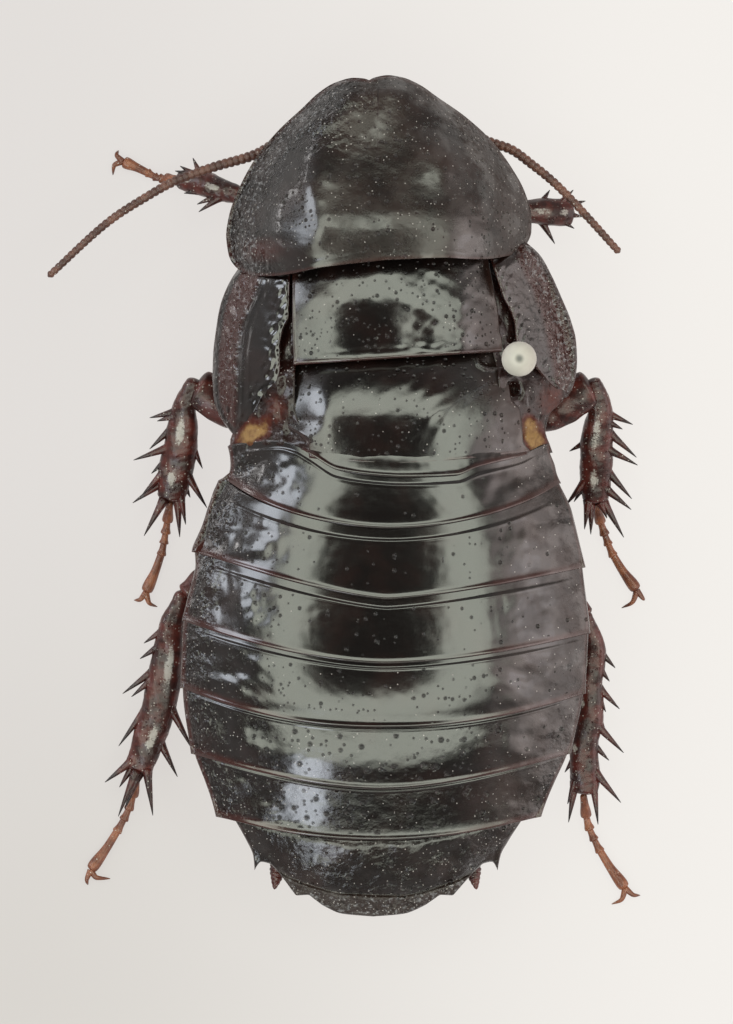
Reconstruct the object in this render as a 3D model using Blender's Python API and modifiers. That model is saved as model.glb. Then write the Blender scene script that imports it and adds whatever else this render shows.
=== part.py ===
# Salganea esakii, a wood-feeding cockroach, as a pinned museum specimen at life size.
# The body is seen from above with its head towards +Y. The back is up (+Z) and the six
# feet and the cut end of the pin stand at z = 0. All tables are in millimetres, and
# x and y there are counted from the middle of the body's length.
import math
import random

import bmesh
import bpy
import numpy as np
from mathutils import Matrix, Vector

MM = 0.001
GAP = 0.3
SEAM = 0.34
SHELL = 0.6
SEED = 11

# The body's plan: the bent midline and the half width of abdomen and thorax, against y.
MIDLINE = ((-15.0, -0.43), (-13.0, -0.30), (-4.7, 0.02), (1.1, 0.28), (5.0, 0.20), (8.0, 0.10))
HALF_WIDTH = ((-11.5, 5.50), (-10.9, 5.82), (-10.1, 6.16), (-9.1, 6.62), (-7.0, 7.10),
              (-5.0, 7.22), (-2.8, 6.92), (-0.5, 6.40), (1.1, 5.75), (4.0, 6.45), (8.0, 5.60))

# Heights against y: crest of the back, rim of the sides, and midline of the belly.
CREST = ((-15.0, 5.00), (-12.3, 6.05), (-10.4, 6.60), (-8.2, 7.00), (-5.0, 7.20),
         (-1.0, 7.10), (1.0, 6.90), (5.0, 7.00), (8.0, 7.25))
RIM = ((-15.0, 4.30), (-12.3, 4.35), (-6.0, 4.50), (1.0, 4.70), (4.5, 4.45), (8.0, 4.60))
BELLY = ((-12.3, 3.30), (-10.0, 2.95), (-6.0, 2.75), (0.0, 2.85), (2.0, 3.00), (11.0, 3.10))
BACK_POWER = 2.3
BELLY_POWER = 3.0

# Hind margins of the seven abdominal segments: y at the middle, left and right side, and
# the power with which the margin bends from the middle to the side.
FIRST_FRONT = (1.00, 1.48, 1.48, 2.0)
FIRST_WIDTH = 0.5
SECOND_FRONT = ((0.0, 0.13), (0.25, 0.29), (0.5, 0.64), (0.65, 0.94), (0.8, 1.12), (1.0, 1.20))
SEGMENT_REARS = ((0.47, 2.47, 2.47, 2.0), (-1.10, 0.60, 0.50, 1.9), (-3.61, -1.95, -2.50, 1.35),
                 (-5.88, -4.40, -4.85, 1.7), (-8.15, -6.80, -7.00, 2.2),
                 (-10.36, -9.15, -9.15, 1.8), (-12.19, -11.40, -11.40, 2.0))
RIM_STEP = 0.14
RING_SLANT = 0.5
CORNER_FLARE = (0.0, 0.05, 0.14, 0.06, 0.10, 0.10, 0.22)

# The plate over the abdomen's end: half width against y, hind margin against side share.
END_HALF_WIDTH = ((-13.4, 4.33), (-12.8, 4.42), (-12.3, 4.66), (-11.4, 5.20))
END_REAR = ((0.00, -15.00), (0.18, -14.98), (0.48, -14.62), (0.66, -14.22), (0.75, -13.95),
            (0.80, -13.35), (0.92, -13.10), (1.00, -13.42))
END_SINK = 0.45

# The shield over the head: half width against y, from its own centre, and its tilt in plan.
SHIELD_CENTRE = (-0.23, 10.96)
SHIELD_TURN = math.radians(3.5)
SHIELD_OUTLINE = ((0.0, -2.60), (2.0, -2.67), (3.6, -2.82), (4.55, -2.72), (5.1, -2.38),
                  (5.34, -1.90), (5.38, -1.30), (5.22, -0.50), (4.82, 0.40), (4.15, 1.45),
                  (3.30, 2.35), (2.40, 3.08), (1.75, 3.60), (1.15, 3.92), (0.62, 4.02),
                  (0.18, 3.92), (0.0, 3.74))
SHIELD_CREST = ((-2.8, 7.55), (-1.4, 7.95), (0.4, 7.85), (1.7, 7.25), (2.6, 6.80), (3.4, 6.25),
                (4.1, 5.45))
SHIELD_RIM = ((-2.8, 4.75), (-1.3, 4.45), (1.5, 4.60), (3.0, 5.00), (4.1, 5.35))
SHIELD_POWER = 2.5
# Bosses and hollows of the shield, alike on both sides: place across and along, the reach of
# each across and along, and its lift.
SHIELD_BOSSES = ((1.88, 1.10, 0.85, 1.00, 0.38), (0.85, 3.25, 0.60, 0.70, 0.16), (0.0, 2.1, 1.1, 0.9, -0.36))

# Plates of the thorax: margins like the segments' and left and right edges against y.
MESO_FRONT = (8.04, 7.10, 7.98, 1.5)
MESO_REAR = (4.90, 4.48, 5.32, 1.0)
MESO_EDGES = (((4.4, -3.24), (8.2, -3.40)), ((4.8, 4.12), (5.8, 4.05), (7.0, 3.88), (8.4, 3.60)))
META_EDGES = (((1.50, -5.42), (1.70, -5.30), (1.90, -4.30), (2.5, -3.80), (3.4, -3.62), (4.8, -3.36)),
              ((1.50, 5.78), (1.72, 5.66), (2.00, 4.95), (2.9, 4.72), (3.4, 4.30), (5.2, 4.16)))
META_REAR = (1.36, 1.60, 1.62, 1.5)

# Fore wing pads: outer and inner margin from front to tip, as x and y.
LEFT_PAD = (((-5.22, 7.78), (-5.86, 6.75), (-6.12, 5.40), (-6.16, 4.20), (-5.97, 3.05), (-5.42, 2.36)),
            ((-3.74, 7.38), (-3.74, 6.00), (-3.66, 4.90), (-3.86, 4.00), (-4.60, 3.05), (-5.18, 2.42)))
RIGHT_PAD = (((5.48, 8.56), (6.02, 7.85), (6.52, 6.50), (6.84, 5.10), (6.84, 4.20), (6.54, 3.62)),
             ((3.96, 8.06), (4.22, 7.20), (4.48, 6.30), (4.66, 5.60), (5.50, 4.42), (6.36, 3.62)))
PAD_RIDGE = 0.22
LEFT_STUB = (((-4.28, 2.84), (-4.92, 2.26)), ((-4.06, 2.88), (-4.50, 2.22)))
RIGHT_STUB = (((5.42, 3.96), (5.72, 2.46)), ((4.86, 3.70), (5.28, 2.36)))

# Head, hanging below the shield with its face turned forward and down.
HEAD_CENTRE = (-0.34, 13.10, 3.55)
HEAD_AXES = (2.05, 1.15, 2.00)
HEAD_TILT = math.radians(-30.0)
EYE_PLACE = (1.78, 0.12, 0.56)
EYE_AXES = (0.42, 0.62, 0.78)
MOUTH_PLACE = -2.84
MOUTH_AXES = (0.92, 0.62, 0.55)
PALP_WIDTHS = (0.26, 0.24, 0.27, 0.30, 0.16)

# Feelers: the route of each as x, y, z, its thickness at root and tip, and a bead's length.
LEFT_FEELER = ((-1.75, 14.35, 2.95), (-2.75, 13.65, 2.85), (-3.70, 12.85, 2.95), (-4.64, 12.27, 3.00),
               (-7.55, 11.36, 2.95), (-9.82, 10.00, 2.85), (-12.03, 7.92, 2.60))
RIGHT_FEELER = ((1.05, 14.40, 2.95), (2.15, 13.75, 2.80), (2.95, 13.10, 2.85), (3.70, 12.72, 2.90),
                (5.25, 11.87, 2.90), (6.79, 10.48, 2.85), (8.39, 8.75, 2.60))
FEELER_ROOT = 0.25
FEELER_TIP = 0.16
BEAD_LENGTH = 0.52

# Legs: ends of hip, thigh and shin, the foot's route, its claw tips, and which side is outer.
LEGS = {
    "fore_left": {
        "hip": ((-2.35, 11.25, 2.42), (-1.75, 9.75, 2.40)),
        "thigh": ((-2.02, 9.36, 1.32), (-4.76, 10.59, 2.14)),
        "shin": ((-5.19, 10.74, 2.11), (-7.48, 11.46, 1.10)),
        "foot": ((-7.68, 11.54, 0.90), (-8.33, 11.80, 0.42), (-8.84, 12.05, 0.27), (-9.51, 12.36, 0.25)),
        "claws": ((-9.72, 12.77), (-9.96, 11.90)), "outer": 1},
    "fore_right": {
        "hip": ((1.85, 11.25, 2.42), (1.45, 9.75, 2.40)),
        "thigh": ((1.75, 9.42, 1.36), (4.26, 10.21, 2.13)),
        "shin": ((4.70, 10.27, 2.12), (6.75, 10.24, 1.40)),
        "foot": ((6.62, 10.20, 0.72), (6.12, 10.23, 0.32), (5.62, 10.26, 0.27), (4.91, 10.32, 0.25)),
        "claws": ((4.48, 10.64), (4.46, 10.04)), "outer": -1},
    "mid_left": {
        "hip": ((-3.60, 6.30, 2.42), (-1.75, 4.60, 2.40)),
        "thigh": ((-1.92, 4.28, 1.42), (-6.39, 3.72, 2.30)),
        "shin": ((-7.01, 4.18, 2.26), (-7.78, -0.02, 1.05)),
        "foot": ((-7.82, -0.36, 0.80), (-7.89, -1.06, 0.42), (-8.08, -1.97, 0.27), (-8.60, -3.39, 0.25)),
        "claws": ((-9.11, -3.69), (-8.24, -3.94)), "outer": -1},
    "mid_right": {
        "hip": ((3.95, 6.30, 2.42), (2.10, 4.05, 2.38)),
        "thigh": ((2.35, 3.24, 1.38), (7.08, 3.66, 2.30)),
        "shin": ((7.78, 4.18, 2.26), (7.71, -0.05, 1.05)),
        "foot": ((7.74, -0.40, 0.80), (7.85, -1.06, 0.42), (8.24, -2.07, 0.27), (9.08, -3.31, 0.25)),
        "claws": ((8.62, -4.02), (9.33, -3.76)), "outer": 1},
    "hind_left": {
        "hip": ((-3.20, 2.45, 2.36), (-1.45, 1.05, 2.24)),
        "thigh": ((-1.62, 0.76, 1.38), (-7.03, -3.08, 2.27)),
        "shin": ((-7.31, -3.49, 2.25), (-8.82, -9.94, 1.05)),
        "foot": ((-8.96, -10.31, 0.80), (-9.19, -11.06, 0.42), (-9.78, -12.24, 0.27), (-10.61, -13.44, 0.25)),
        "claws": ((-10.73, -14.01), (-9.94, -13.81)), "outer": -1},
    "hind_right": {
        "hip": ((3.60, 2.45, 2.36), (1.95, 1.05, 2.24)),
        "thigh": ((2.12, 0.76, 1.38), (7.22, -3.89, 2.27)),
        "shin": ((7.41, -4.34, 2.25), (7.21, -10.56, 1.05)),
        "foot": ((7.19, -10.93, 0.80), (7.32, -11.56, 0.42), (7.75, -12.68, 0.27), (8.72, -14.12, 0.25)),
        "claws": ((9.21, -14.37), (8.22, -14.68)), "outer": 1},
}
# Half widths in plan and half heights of hip, thigh and shin, at root, middle and end.
HIP_WIDTHS = (0.62, 0.82, 0.42)
HIP_HEIGHTS = (0.34, 0.42, 0.36)
THIGH_HEIGHTS = (0.40, 0.48, 0.40)
SHIN_HEIGHTS = (0.30, 0.42, 0.38)
THIGH_WIDTHS = {"fore": (0.45, 0.78, 0.42), "mid": (0.50, 0.78, 0.50), "hind": (0.50, 0.92, 0.50)}
SHIN_WIDTHS = {"fore_left": (0.27, 0.48, 0.42), "fore_right": (0.32, 0.52, 0.44),
               "mid_left": (0.30, 0.64, 0.52), "mid_right": (0.30, 0.57, 0.52),
               "hind_left": (0.28, 0.58, 0.56), "hind_right": (0.26, 0.38, 0.48)}
FOOT_SINK = 0.06
FOOT_WIDTHS = (0.25, 0.27, 0.25, 0.33)

# Spines of the shin: place along it, splay in degrees to the outer side, and length.
FORE_SPINES = ((0.40, 48, 0.75), (0.62, 40, 0.45), (0.86, 30, 0.55), (0.34, -36, 0.75), (0.62, -34, 0.45),
               (0.86, -26, 0.50))
MID_SPINES = ((0.24, 62, 0.72), (0.36, 46, 1.15), (0.56, 56, 1.08), (0.70, 34, 1.10), (0.86, 44, 1.05),
              (0.93, 16, 1.45), (0.46, -42, 0.55), (0.74, -36, 1.20), (0.86, -20, 0.80), (0.93, -10, 1.20))
HIND_SPINES = ((0.24, 43, 0.66), (0.33, 36, 0.58), (0.46, 44, 1.10), (0.64, 34, 1.50), (0.76, 30, 0.75),
               (0.88, 38, 1.25), (0.95, 12, 1.60), (0.60, -32, 1.40), (0.80, -28, 1.20), (0.95, -10, 1.50))
SPINE_BASE = 0.22
SPINE_SUNK = 0.30

# The pin: where it stands, its shaft, its round head and the height of the head's middle.
PIN_PLACE = (4.61, 4.75)
PIN_RADIUS = 0.25
PIN_HEAD_RADIUS = 0.65
PIN_HEAD_HEIGHT = 15.6
PIN_CUTS = (0.42, 3.00)

# Colours as linear red, green, blue.
BLACK_BROWN = (0.012, 0.008, 0.006)
RED_BROWN = (0.060, 0.018, 0.008)
DARK_RED = (0.028, 0.010, 0.007)
ORANGE = (0.420, 0.130, 0.040)
TAN = (0.240, 0.085, 0.030)
EYE_BLACK = (0.010, 0.010, 0.012)
NYLON = (0.780, 0.790, 0.800)
STEEL = (0.300, 0.300, 0.310)


def clear_scene():
    """Remove every object that the file opened with."""
    for thing in list(bpy.data.objects):
        bpy.data.objects.remove(thing, do_unlink=True)


def make_material(name, colour, roughness, metallic=0.0):
    """One plain Principled material."""
    material = bpy.data.materials.new(name)
    material.use_nodes = True
    shader = material.node_tree.nodes["Principled BSDF"]
    shader.inputs["Base Color"].default_value = (*colour, 1.0)
    shader.inputs["Roughness"].default_value = roughness
    shader.inputs["Metallic"].default_value = metallic
    return material


def read_profile(stations, where):
    """Read a smooth curve through (place, size) stations, without overshoot between them."""
    places, sizes = np.array(stations, dtype=float).T
    steps = np.diff(places)
    rises = np.diff(sizes) / steps
    slopes = np.zeros_like(sizes)
    slopes[0] = rises[0]
    slopes[-1] = rises[-1]
    product = rises[1:] * rises[:-1]
    total = np.where(product > 0, rises[1:] + rises[:-1], 1.0)
    slopes[1:-1] = np.where(product > 0, 2.0 * product / total, 0.0)
    where = np.asarray(where, dtype=float)
    cell = np.clip(np.searchsorted(places, where) - 1, 0, len(steps) - 1)
    share = np.clip((where - places[cell]) / steps[cell], 0.0, 1.0)
    square = share * share
    cube = square * share
    rise = 3 * square - 2 * cube
    leaving = (cube - 2 * square + share) * steps[cell] * slopes[cell]
    arriving = (cube - square) * steps[cell] * slopes[cell + 1]
    return sizes[cell] * (1 - rise) + sizes[cell + 1] * rise + leaving + arriving


def read_route(points, shares):
    """Read a smooth route through points at shares of its length, 0 to 1."""
    points = np.array(points, dtype=float)
    reach = np.concatenate(([0.0], np.cumsum(np.linalg.norm(np.diff(points, axis=0), axis=1))))
    reach /= reach[-1]
    return np.stack([read_profile(np.stack([reach, points[:, k]], axis=1), shares)
                     for k in range(points.shape[1])], axis=-1)


def add_object(name, vertices, faces, material):
    """Make a closed object from points in millimetres, with its faces turned outwards."""
    mesh = bpy.data.meshes.new(name)
    mesh.from_pydata([tuple(float(c) * MM for c in v) for v in vertices], [], faces)
    work = bmesh.new()
    work.from_mesh(mesh)
    bmesh.ops.recalc_face_normals(work, faces=work.faces)
    work.to_mesh(mesh)
    work.free()
    return link_mesh(name, mesh, material)


def link_mesh(name, mesh, material):
    """Put a mesh in the scene as a named, smooth-shaded object."""
    mesh.materials.clear()
    mesh.materials.append(material)
    mesh.shade_smooth()
    mesh.set_sharp_from_angle(angle=math.radians(40))
    thing = bpy.data.objects.new(name, mesh)
    bpy.context.scene.collection.objects.link(thing)
    return thing


def add_slab(name, top, under, material):
    """Close two grids of points, one over the other, into a plate with walls round it."""
    columns, rows = top.shape[:2]
    vertices = np.concatenate([top.reshape(-1, 3), under.reshape(-1, 3)])
    spot = np.arange(columns * rows).reshape(columns, rows)
    lower = spot + columns * rows
    faces = []
    for i in range(columns - 1):
        for j in range(rows - 1):
            for grid in (spot, lower):
                a, d = int(grid[i, j]), int(grid[i, j + 1])
                b, c = int(grid[i + 1, j]), int(grid[i + 1, j + 1])
                faces += [(a, b, c), (a, c, d)]
    border = [(i, 0) for i in range(columns)] + [(columns - 1, j) for j in range(1, rows)]
    border += [(i, rows - 1) for i in range(columns - 2, -1, -1)]
    border += [(0, j) for j in range(rows - 2, 0, -1)]
    for k, (i, j) in enumerate(border):
        m, n = border[(k + 1) % len(border)]
        faces += [(int(spot[i, j]), int(spot[m, n]), int(lower[m, n])),
                  (int(spot[i, j]), int(lower[m, n]), int(lower[i, j]))]
    return add_object(name, vertices, faces, material)


def add_tube(name, route, half_widths, half_heights, material, sides=8, up=(0.0, 0.0, 1.0), floor=None):
    """Carry an ellipse along a route, rounded off at both ends, and flatten what meets the floor."""
    route = np.array(route, dtype=float)
    count = len(route)
    tangents = np.gradient(route, axis=0)
    tangents /= np.linalg.norm(tangents, axis=1)[:, None]
    side = np.cross(tangents, np.array(up))
    side /= np.linalg.norm(side, axis=1)[:, None]
    over = np.cross(side, tangents)
    turn = 2 * np.pi * (np.arange(sides) + 0.5) / sides
    widths = np.broadcast_to(half_widths, count)[:, None, None]
    heights = np.broadcast_to(half_heights, count)[:, None, None]
    rings = (route[:, None, :] + side[:, None, :] * widths * np.cos(turn)[None, :, None]
             + over[:, None, :] * heights * np.sin(turn)[None, :, None])
    ends = np.stack([route[0], route[-1]])
    vertices = np.concatenate([rings.reshape(-1, 3), ends])
    if floor is not None:
        vertices[:, 2] = np.maximum(vertices[:, 2], floor)
    faces = []
    for k in range(count - 1):
        for i in range(sides):
            a = k * sides + i
            b = k * sides + (i + 1) % sides
            faces += [(a, b, b + sides), (a, b + sides, a + sides)]
    for i in range(sides):
        following = (i + 1) % sides
        faces.append((following, i, count * sides))
        faces.append(((count - 1) * sides + i, (count - 1) * sides + following, count * sides + 1))
    return add_object(name, vertices, faces, material)


def add_limb(name, start, end, widths, heights, material, bulge=0.5, sides=8, floor=None):
    """A leg part from start to end, round at both tips, widest at its middle station."""
    shares = np.array([0.0, 0.06, 0.22, bulge, 0.8, 0.95, 1.0])
    start = np.array(start, dtype=float)
    end = np.array(end, dtype=float)
    route = start + (end - start) * shares[:, None]
    round_off = np.array([0.45, 0.86, 1.0, 1.0, 1.0, 0.9, 0.5])
    stations = (0.0, bulge, 1.0)
    wide = read_profile(list(zip(stations, widths)), shares) * round_off
    high = read_profile(list(zip(stations, heights)), shares) * round_off
    return add_tube(name, route, wide, high, material, sides, floor=floor)


def add_ball(name, axes, material, segments=16, rings=10, shape=None, place=None):
    """A sphere drawn out to three half axes, reshaped and then placed."""
    work = bmesh.new()
    bmesh.ops.create_uvsphere(work, u_segments=segments, v_segments=rings, radius=1.0)
    for vertex in work.verts:
        if shape is not None:
            vertex.co = shape(vertex.co)
        vertex.co = Vector(c * size * MM for c, size in zip(vertex.co, axes))
    if place is not None:
        bmesh.ops.transform(work, matrix=place, verts=work.verts)
    mesh = bpy.data.meshes.new(name)
    work.to_mesh(mesh)
    work.free()
    return link_mesh(name, mesh, material)


def keep_largest_body(mesh):
    """Leave only the surface with the most corners, which drops a loose scrap or a sealed hollow."""
    work = bmesh.new()
    work.from_mesh(mesh)
    left = set(work.verts)
    best = set()
    while left:
        body = {left.pop()}
        edge_of_search = list(body)
        while edge_of_search:
            for edge in edge_of_search.pop().link_edges:
                for vertex in edge.verts:
                    if vertex in left:
                        left.remove(vertex)
                        body.add(vertex)
                        edge_of_search.append(vertex)
        if len(body) > len(best):
            best = body
    bmesh.ops.delete(work, geom=[v for v in work.verts if v not in best], context="VERTS")
    bmesh.ops.triangulate(work, faces=work.faces)
    work.to_mesh(mesh)
    work.free()


def combine(base, others, operation):
    """Join closed pieces to a base, or cut them out of it, in one Boolean, and remove them."""
    group = bpy.data.collections.new(base.name + "_pieces")
    bpy.context.scene.collection.children.link(group)
    for other in others:
        group.objects.link(other)
        other.hide_render = True
        other.display_type = "WIRE"
    modifier = base.modifiers.new("combine", "BOOLEAN")
    modifier.operation = operation
    modifier.operand_type = "COLLECTION"
    modifier.collection = group
    modifier.solver = "EXACT"
    graph = bpy.context.evaluated_depsgraph_get()
    mesh = bpy.data.meshes.new_from_object(base.evaluated_get(graph))
    base.modifiers.remove(modifier)
    material = base.data.materials[0]
    keep_largest_body(mesh)
    mesh.materials.clear()
    mesh.materials.append(material)
    base.data = mesh
    for other in others:
        bpy.data.objects.remove(other, do_unlink=True)
    bpy.data.collections.remove(group)
    mesh.shade_smooth()
    mesh.set_sharp_from_angle(angle=math.radians(40))
    return base


def margin(line, side_share, shift=0.0):
    """Read y on a cross margin: middle, left and right values, and the power of its bend."""
    middle, left, right, power = line
    side = np.where(side_share < 0, left, right)
    return middle + (side - middle) * np.abs(side_share) ** power + shift


def share_across(x, y):
    """How far x lies from the midline towards the side, from -1 to 1."""
    return np.clip((x - read_profile(MIDLINE, y)) / read_profile(HALF_WIDTH, y), -1.0, 1.0)


def back_height(x, y):
    """Height of the back's plain vault at x, y."""
    rim = read_profile(RIM, y)
    return rim + (read_profile(CREST, y) - rim) * (1 - np.abs(share_across(x, y)) ** BACK_POWER)


def belly_height(x, y):
    """Height of the underside at x, y."""
    belly = read_profile(BELLY, y)
    return belly + (read_profile(RIM, y) - SHELL - belly) * np.abs(share_across(x, y)) ** BELLY_POWER


def crosswise(columns):
    """Shares from -1 to 1, closer together towards the sides."""
    even = np.linspace(-1.0, 1.0, columns)
    return even * 0.45 + np.sin(even * np.pi / 2) * 0.55


def add_abdomen_segments(back, columns=21, rows=4):
    """Seven closed rings of the abdomen, each hind rim a little proud of the next one."""
    for number, rear in enumerate(SEGMENT_REARS, start=1):
        side = crosswise(columns)[:, None] * (FIRST_WIDTH if number == 1 else 1.0)
        along = np.linspace(0.0, 1.0, rows)[None, :]
        if number == 1:
            front = margin(FIRST_FRONT, side)
        elif number == 2:
            front = read_profile(SECOND_FRONT, np.abs(side))
        else:
            front = margin(SEGMENT_REARS[number - 2], side, -SEAM)
        y = front + (margin(rear, side) - front) * along
        flare = CORNER_FLARE[number - 1] * np.abs(side) ** 8 * (along ** 3 - 0.3)
        x = read_profile(MIDLINE, y) + side * (read_profile(HALF_WIDTH, y) + flare)
        step = RIM_STEP * (2 * along - 1) * (1 - np.abs(side) ** 6)
        slant = RING_SLANT * (1 - side ** 4)
        top = np.stack([x, y, back_height(x, y) + step], axis=-1)
        under = np.stack([x, y + slant, belly_height(x, y) - 0.5 * step], axis=-1)
        add_slab(f"abdomen_{number}", top, under, back)


def add_abdomen_end(back, columns=27, rows=5):
    """The plate over the abdomen's end, the plate under it and the two short tails between."""
    side = crosswise(columns)[:, None]
    along = np.linspace(0.0, 1.0, rows)[None, :]
    front = margin(SEGMENT_REARS[-1], side, -SEAM - 0.12 * np.abs(side))
    rear = read_profile(END_REAR, np.abs(side))
    y = front + (rear - front) * along
    x = read_profile(MIDLINE, y) + side * read_profile(END_HALF_WIDTH, y)
    rim = read_profile(RIM, y)
    vault = rim + (read_profile(CREST, y) - rim) * (1 - np.abs(side) ** BACK_POWER)
    top = np.stack([x, y, vault - END_SINK * along ** 3], axis=-1)
    under = top - np.array([0.0, 0.0, SHELL])
    add_slab("supra_anal_plate", top, under, back)

    inner = side[::2] * 0.66
    rear = -14.35 + 0.9 * inner ** 2
    y = margin(SEGMENT_REARS[-1], inner, RING_SLANT / 2 - SEAM) * (1 - along) + rear * along
    x = read_profile(MIDLINE, y) + inner * read_profile(END_HALF_WIDTH, y)
    rim = read_profile(RIM, y)
    vault = rim + (read_profile(CREST, y) - rim) * (1 - np.abs(inner) ** BACK_POWER)
    top = np.stack([x, y, vault - END_SINK * along ** 3 - SHELL - SEAM - 0.08], axis=-1)
    belly = read_profile(BELLY, y) + 0.35 * along + 0.9 * inner ** 2
    under = np.stack([x, y, np.minimum(belly, top[..., 2] - 0.5)], axis=-1)
    add_slab("subgenital_plate", top, under, back)


def add_cerci(material):
    """Two short cone-shaped tails in the notches beside the end plate."""
    for name, sign in (("cercus_left", -1), ("cercus_right", 1)):
        middle = float(read_profile(MIDLINE, -13.7))
        start = np.array([middle + sign * 3.42, -12.95, 3.05])
        end = np.array([middle + sign * 3.62, -14.05, 3.25])
        shares = np.array([0.0, 0.15, 0.4, 0.7, 0.92, 1.0])
        widths = np.array([0.22, 0.36, 0.40, 0.32, 0.16, 0.06])
        add_tube(name, start + (end - start) * shares[:, None], widths, widths * 0.8, material)


def shield_to_body(x, y):
    """Turn the shield's own x and y into the body's."""
    c, s = math.cos(SHIELD_TURN), math.sin(SHIELD_TURN)
    return SHIELD_CENTRE[0] + x * c - y * s, SHIELD_CENTRE[1] + x * s + y * c


def shield_height(x, y):
    """Height of the shield's top at its own x, y: a vault, two bosses, a hollow and front humps."""
    outline = np.array(SHIELD_OUTLINE)
    widest = int(np.argmax(outline[:, 0]))
    front_half = outline[widest:][:, ::-1]
    rear_half = outline[:widest + 1][:, ::-1]
    rear_half = rear_half[np.argsort(rear_half[:, 0])]
    front_width = read_profile(front_half, y)
    rear_width = read_profile(((-2.9, 4.9), (-2.4, 5.12), (-1.9, 5.34), (-1.3, 5.38)), y)
    width = np.where(y > outline[widest, 1], np.maximum(front_width, 0.9), rear_width)
    share = np.clip(np.abs(x) / width, 0.0, 1.0)
    rim = read_profile(SHIELD_RIM, y)
    height = rim + (read_profile(SHIELD_CREST, y) - rim) * (1 - share ** SHIELD_POWER)
    for across, along, wide, long, lift in SHIELD_BOSSES:
        spot = ((np.abs(x) - across) / wide) ** 2 + ((y - along) / long) ** 2
        height = height + lift * np.exp(-spot) * (1 - share ** 8)
    return height


def add_shield(back, turns=48):
    """The pronotum: a hooded shell on rings between its middle and its outline."""
    outline = np.array(SHIELD_OUTLINE)
    shares = np.linspace(0.0, 1.0, turns // 2 + 1)
    half = read_route(outline, shares)
    loop = np.concatenate([half, half[-2:0:-1] * np.array([-1.0, 1.0])])
    middle = np.array([0.0, 0.6])
    rings = (0.16, 0.32, 0.48, 0.62, 0.75, 0.87, 0.96, 1.0)
    tops, unders = [], []
    for ring in rings:
        flat = middle + (loop - middle) * ring
        inner = middle + (loop - middle) * (ring if ring < 1.0 else 0.985)
        x, y = shield_to_body(flat[:, 0], flat[:, 1])
        tops.append(np.stack([x, y, shield_height(flat[:, 0], flat[:, 1])], axis=-1))
        x, y = shield_to_body(inner[:, 0], inner[:, 1])
        unders.append(np.stack([x, y, shield_height(inner[:, 0], inner[:, 1]) - SHELL], axis=-1))
    x, y = shield_to_body(*middle)
    peak = float(shield_height(np.array(middle[0]), np.array(middle[1])))
    vertices = np.concatenate(tops + unders + [np.array([[x, y, peak], [x, y, peak - SHELL]])])
    count = len(loop)
    lower = count * len(rings)
    faces = []
    for i in range(count):
        j = (i + 1) % count
        faces.append((2 * lower, i, j))
        faces.append((2 * lower + 1, lower + j, lower + i))
        for k in range(len(rings) - 1):
            for start in (0, lower):
                a = start + k * count
                faces += [(a + i, a + count + i, a + count + j), (a + i, a + count + j, a + j)]
        rim = (len(rings) - 1) * count
        faces += [(rim + i, lower + rim + i, lower + rim + j), (rim + i, lower + rim + j, rim + j)]
    add_object("pronotum", vertices, faces, back)


def add_back_plate(name, edges, front, rear, material, columns=17, rows=5):
    """A plate of the thorax's back between two cross margins and two side edges."""
    left, right = edges
    across = crosswise(columns)[:, None] * 0.5 + 0.5
    along = np.linspace(0.0, 1.0, rows)[None, :]

    def x_at(y):
        return read_profile(left, y) * (1 - across) + read_profile(right, y) * across

    def margin_near(line):
        near = (line[0] + line[1]) / 2
        return margin(line, share_across(x_at(near), near))

    ahead, behind = margin_near(front), margin_near(rear)
    y = ahead + (behind - ahead) * along
    x = x_at(y)
    top = np.stack([x, y, back_height(x, y) + RIM_STEP * (2 * along - 1)], axis=-1)
    add_slab(name, top, top - np.array([0.0, 0.0, SHELL]), material)


def add_thorax_plates(back):
    """The two plates between the wing pads."""
    add_back_plate("mesonotum", MESO_EDGES, MESO_FRONT, MESO_REAR, back)
    behind_meso = (MESO_REAR[0] - GAP, MESO_REAR[1] - GAP, MESO_REAR[2] - GAP, MESO_REAR[3])
    add_back_plate("metanotum", META_EDGES, behind_meso, META_REAR, back, rows=9)


def add_chest(name, rear_y, front_y, half_width, material, columns=13, rows=7):
    """A closed underside of the thorax, narrower at its ends, up to just below its back plates."""
    side = crosswise(columns)[:, None]
    along = np.linspace(0.0, 1.0, rows)[None, :]
    y = front_y + (rear_y - front_y) * along + 0.0 * side
    narrowing = 1 - 0.10 * (2 * along - 1) ** 4
    x = read_profile(MIDLINE, y) + side * half_width * narrowing
    ceiling = back_height(x, y) - RIM_STEP - SHELL - GAP - 0.06
    top = np.stack([x, y, ceiling], axis=-1)
    under = np.stack([x, y, read_profile(BELLY, y) + 0.60 * np.abs(side) ** 3], axis=-1)
    add_slab(name, top, under, material)


def add_thorax_underside(material):
    """Undersides of the three rings of the thorax and the neck."""
    add_chest("metathorax", 2.15, 4.45, 4.9, material)
    add_chest("mesothorax", 4.80, 7.98, 4.95, material)
    side = crosswise(11)[:, None]
    y = np.linspace(11.0, 8.34, 4)[None, :] + 0.0 * side
    x = -0.1 + side * 2.9 + 0.0 * y
    top = np.stack([x, y, 6.45 - 1.6 * np.abs(side) ** 3 - 0.12 * (y - 9.0)], axis=-1)
    under = np.stack([x, y, read_profile(BELLY, y) + 0.45 * np.abs(side) ** 3], axis=-1)
    add_slab("prothorax", top, under, material)
    start = np.array([-0.28, 11.0 + GAP + 0.24, 4.35])
    end = np.array([-0.32, 11.78, 4.25])
    shares = np.array([0.0, 0.5, 1.0])
    route = start + (end - start) * shares[:, None]
    add_tube("neck", route, (1.1, 1.0, 0.9), (0.7, 0.65, 0.6), material, sides=12)


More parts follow.
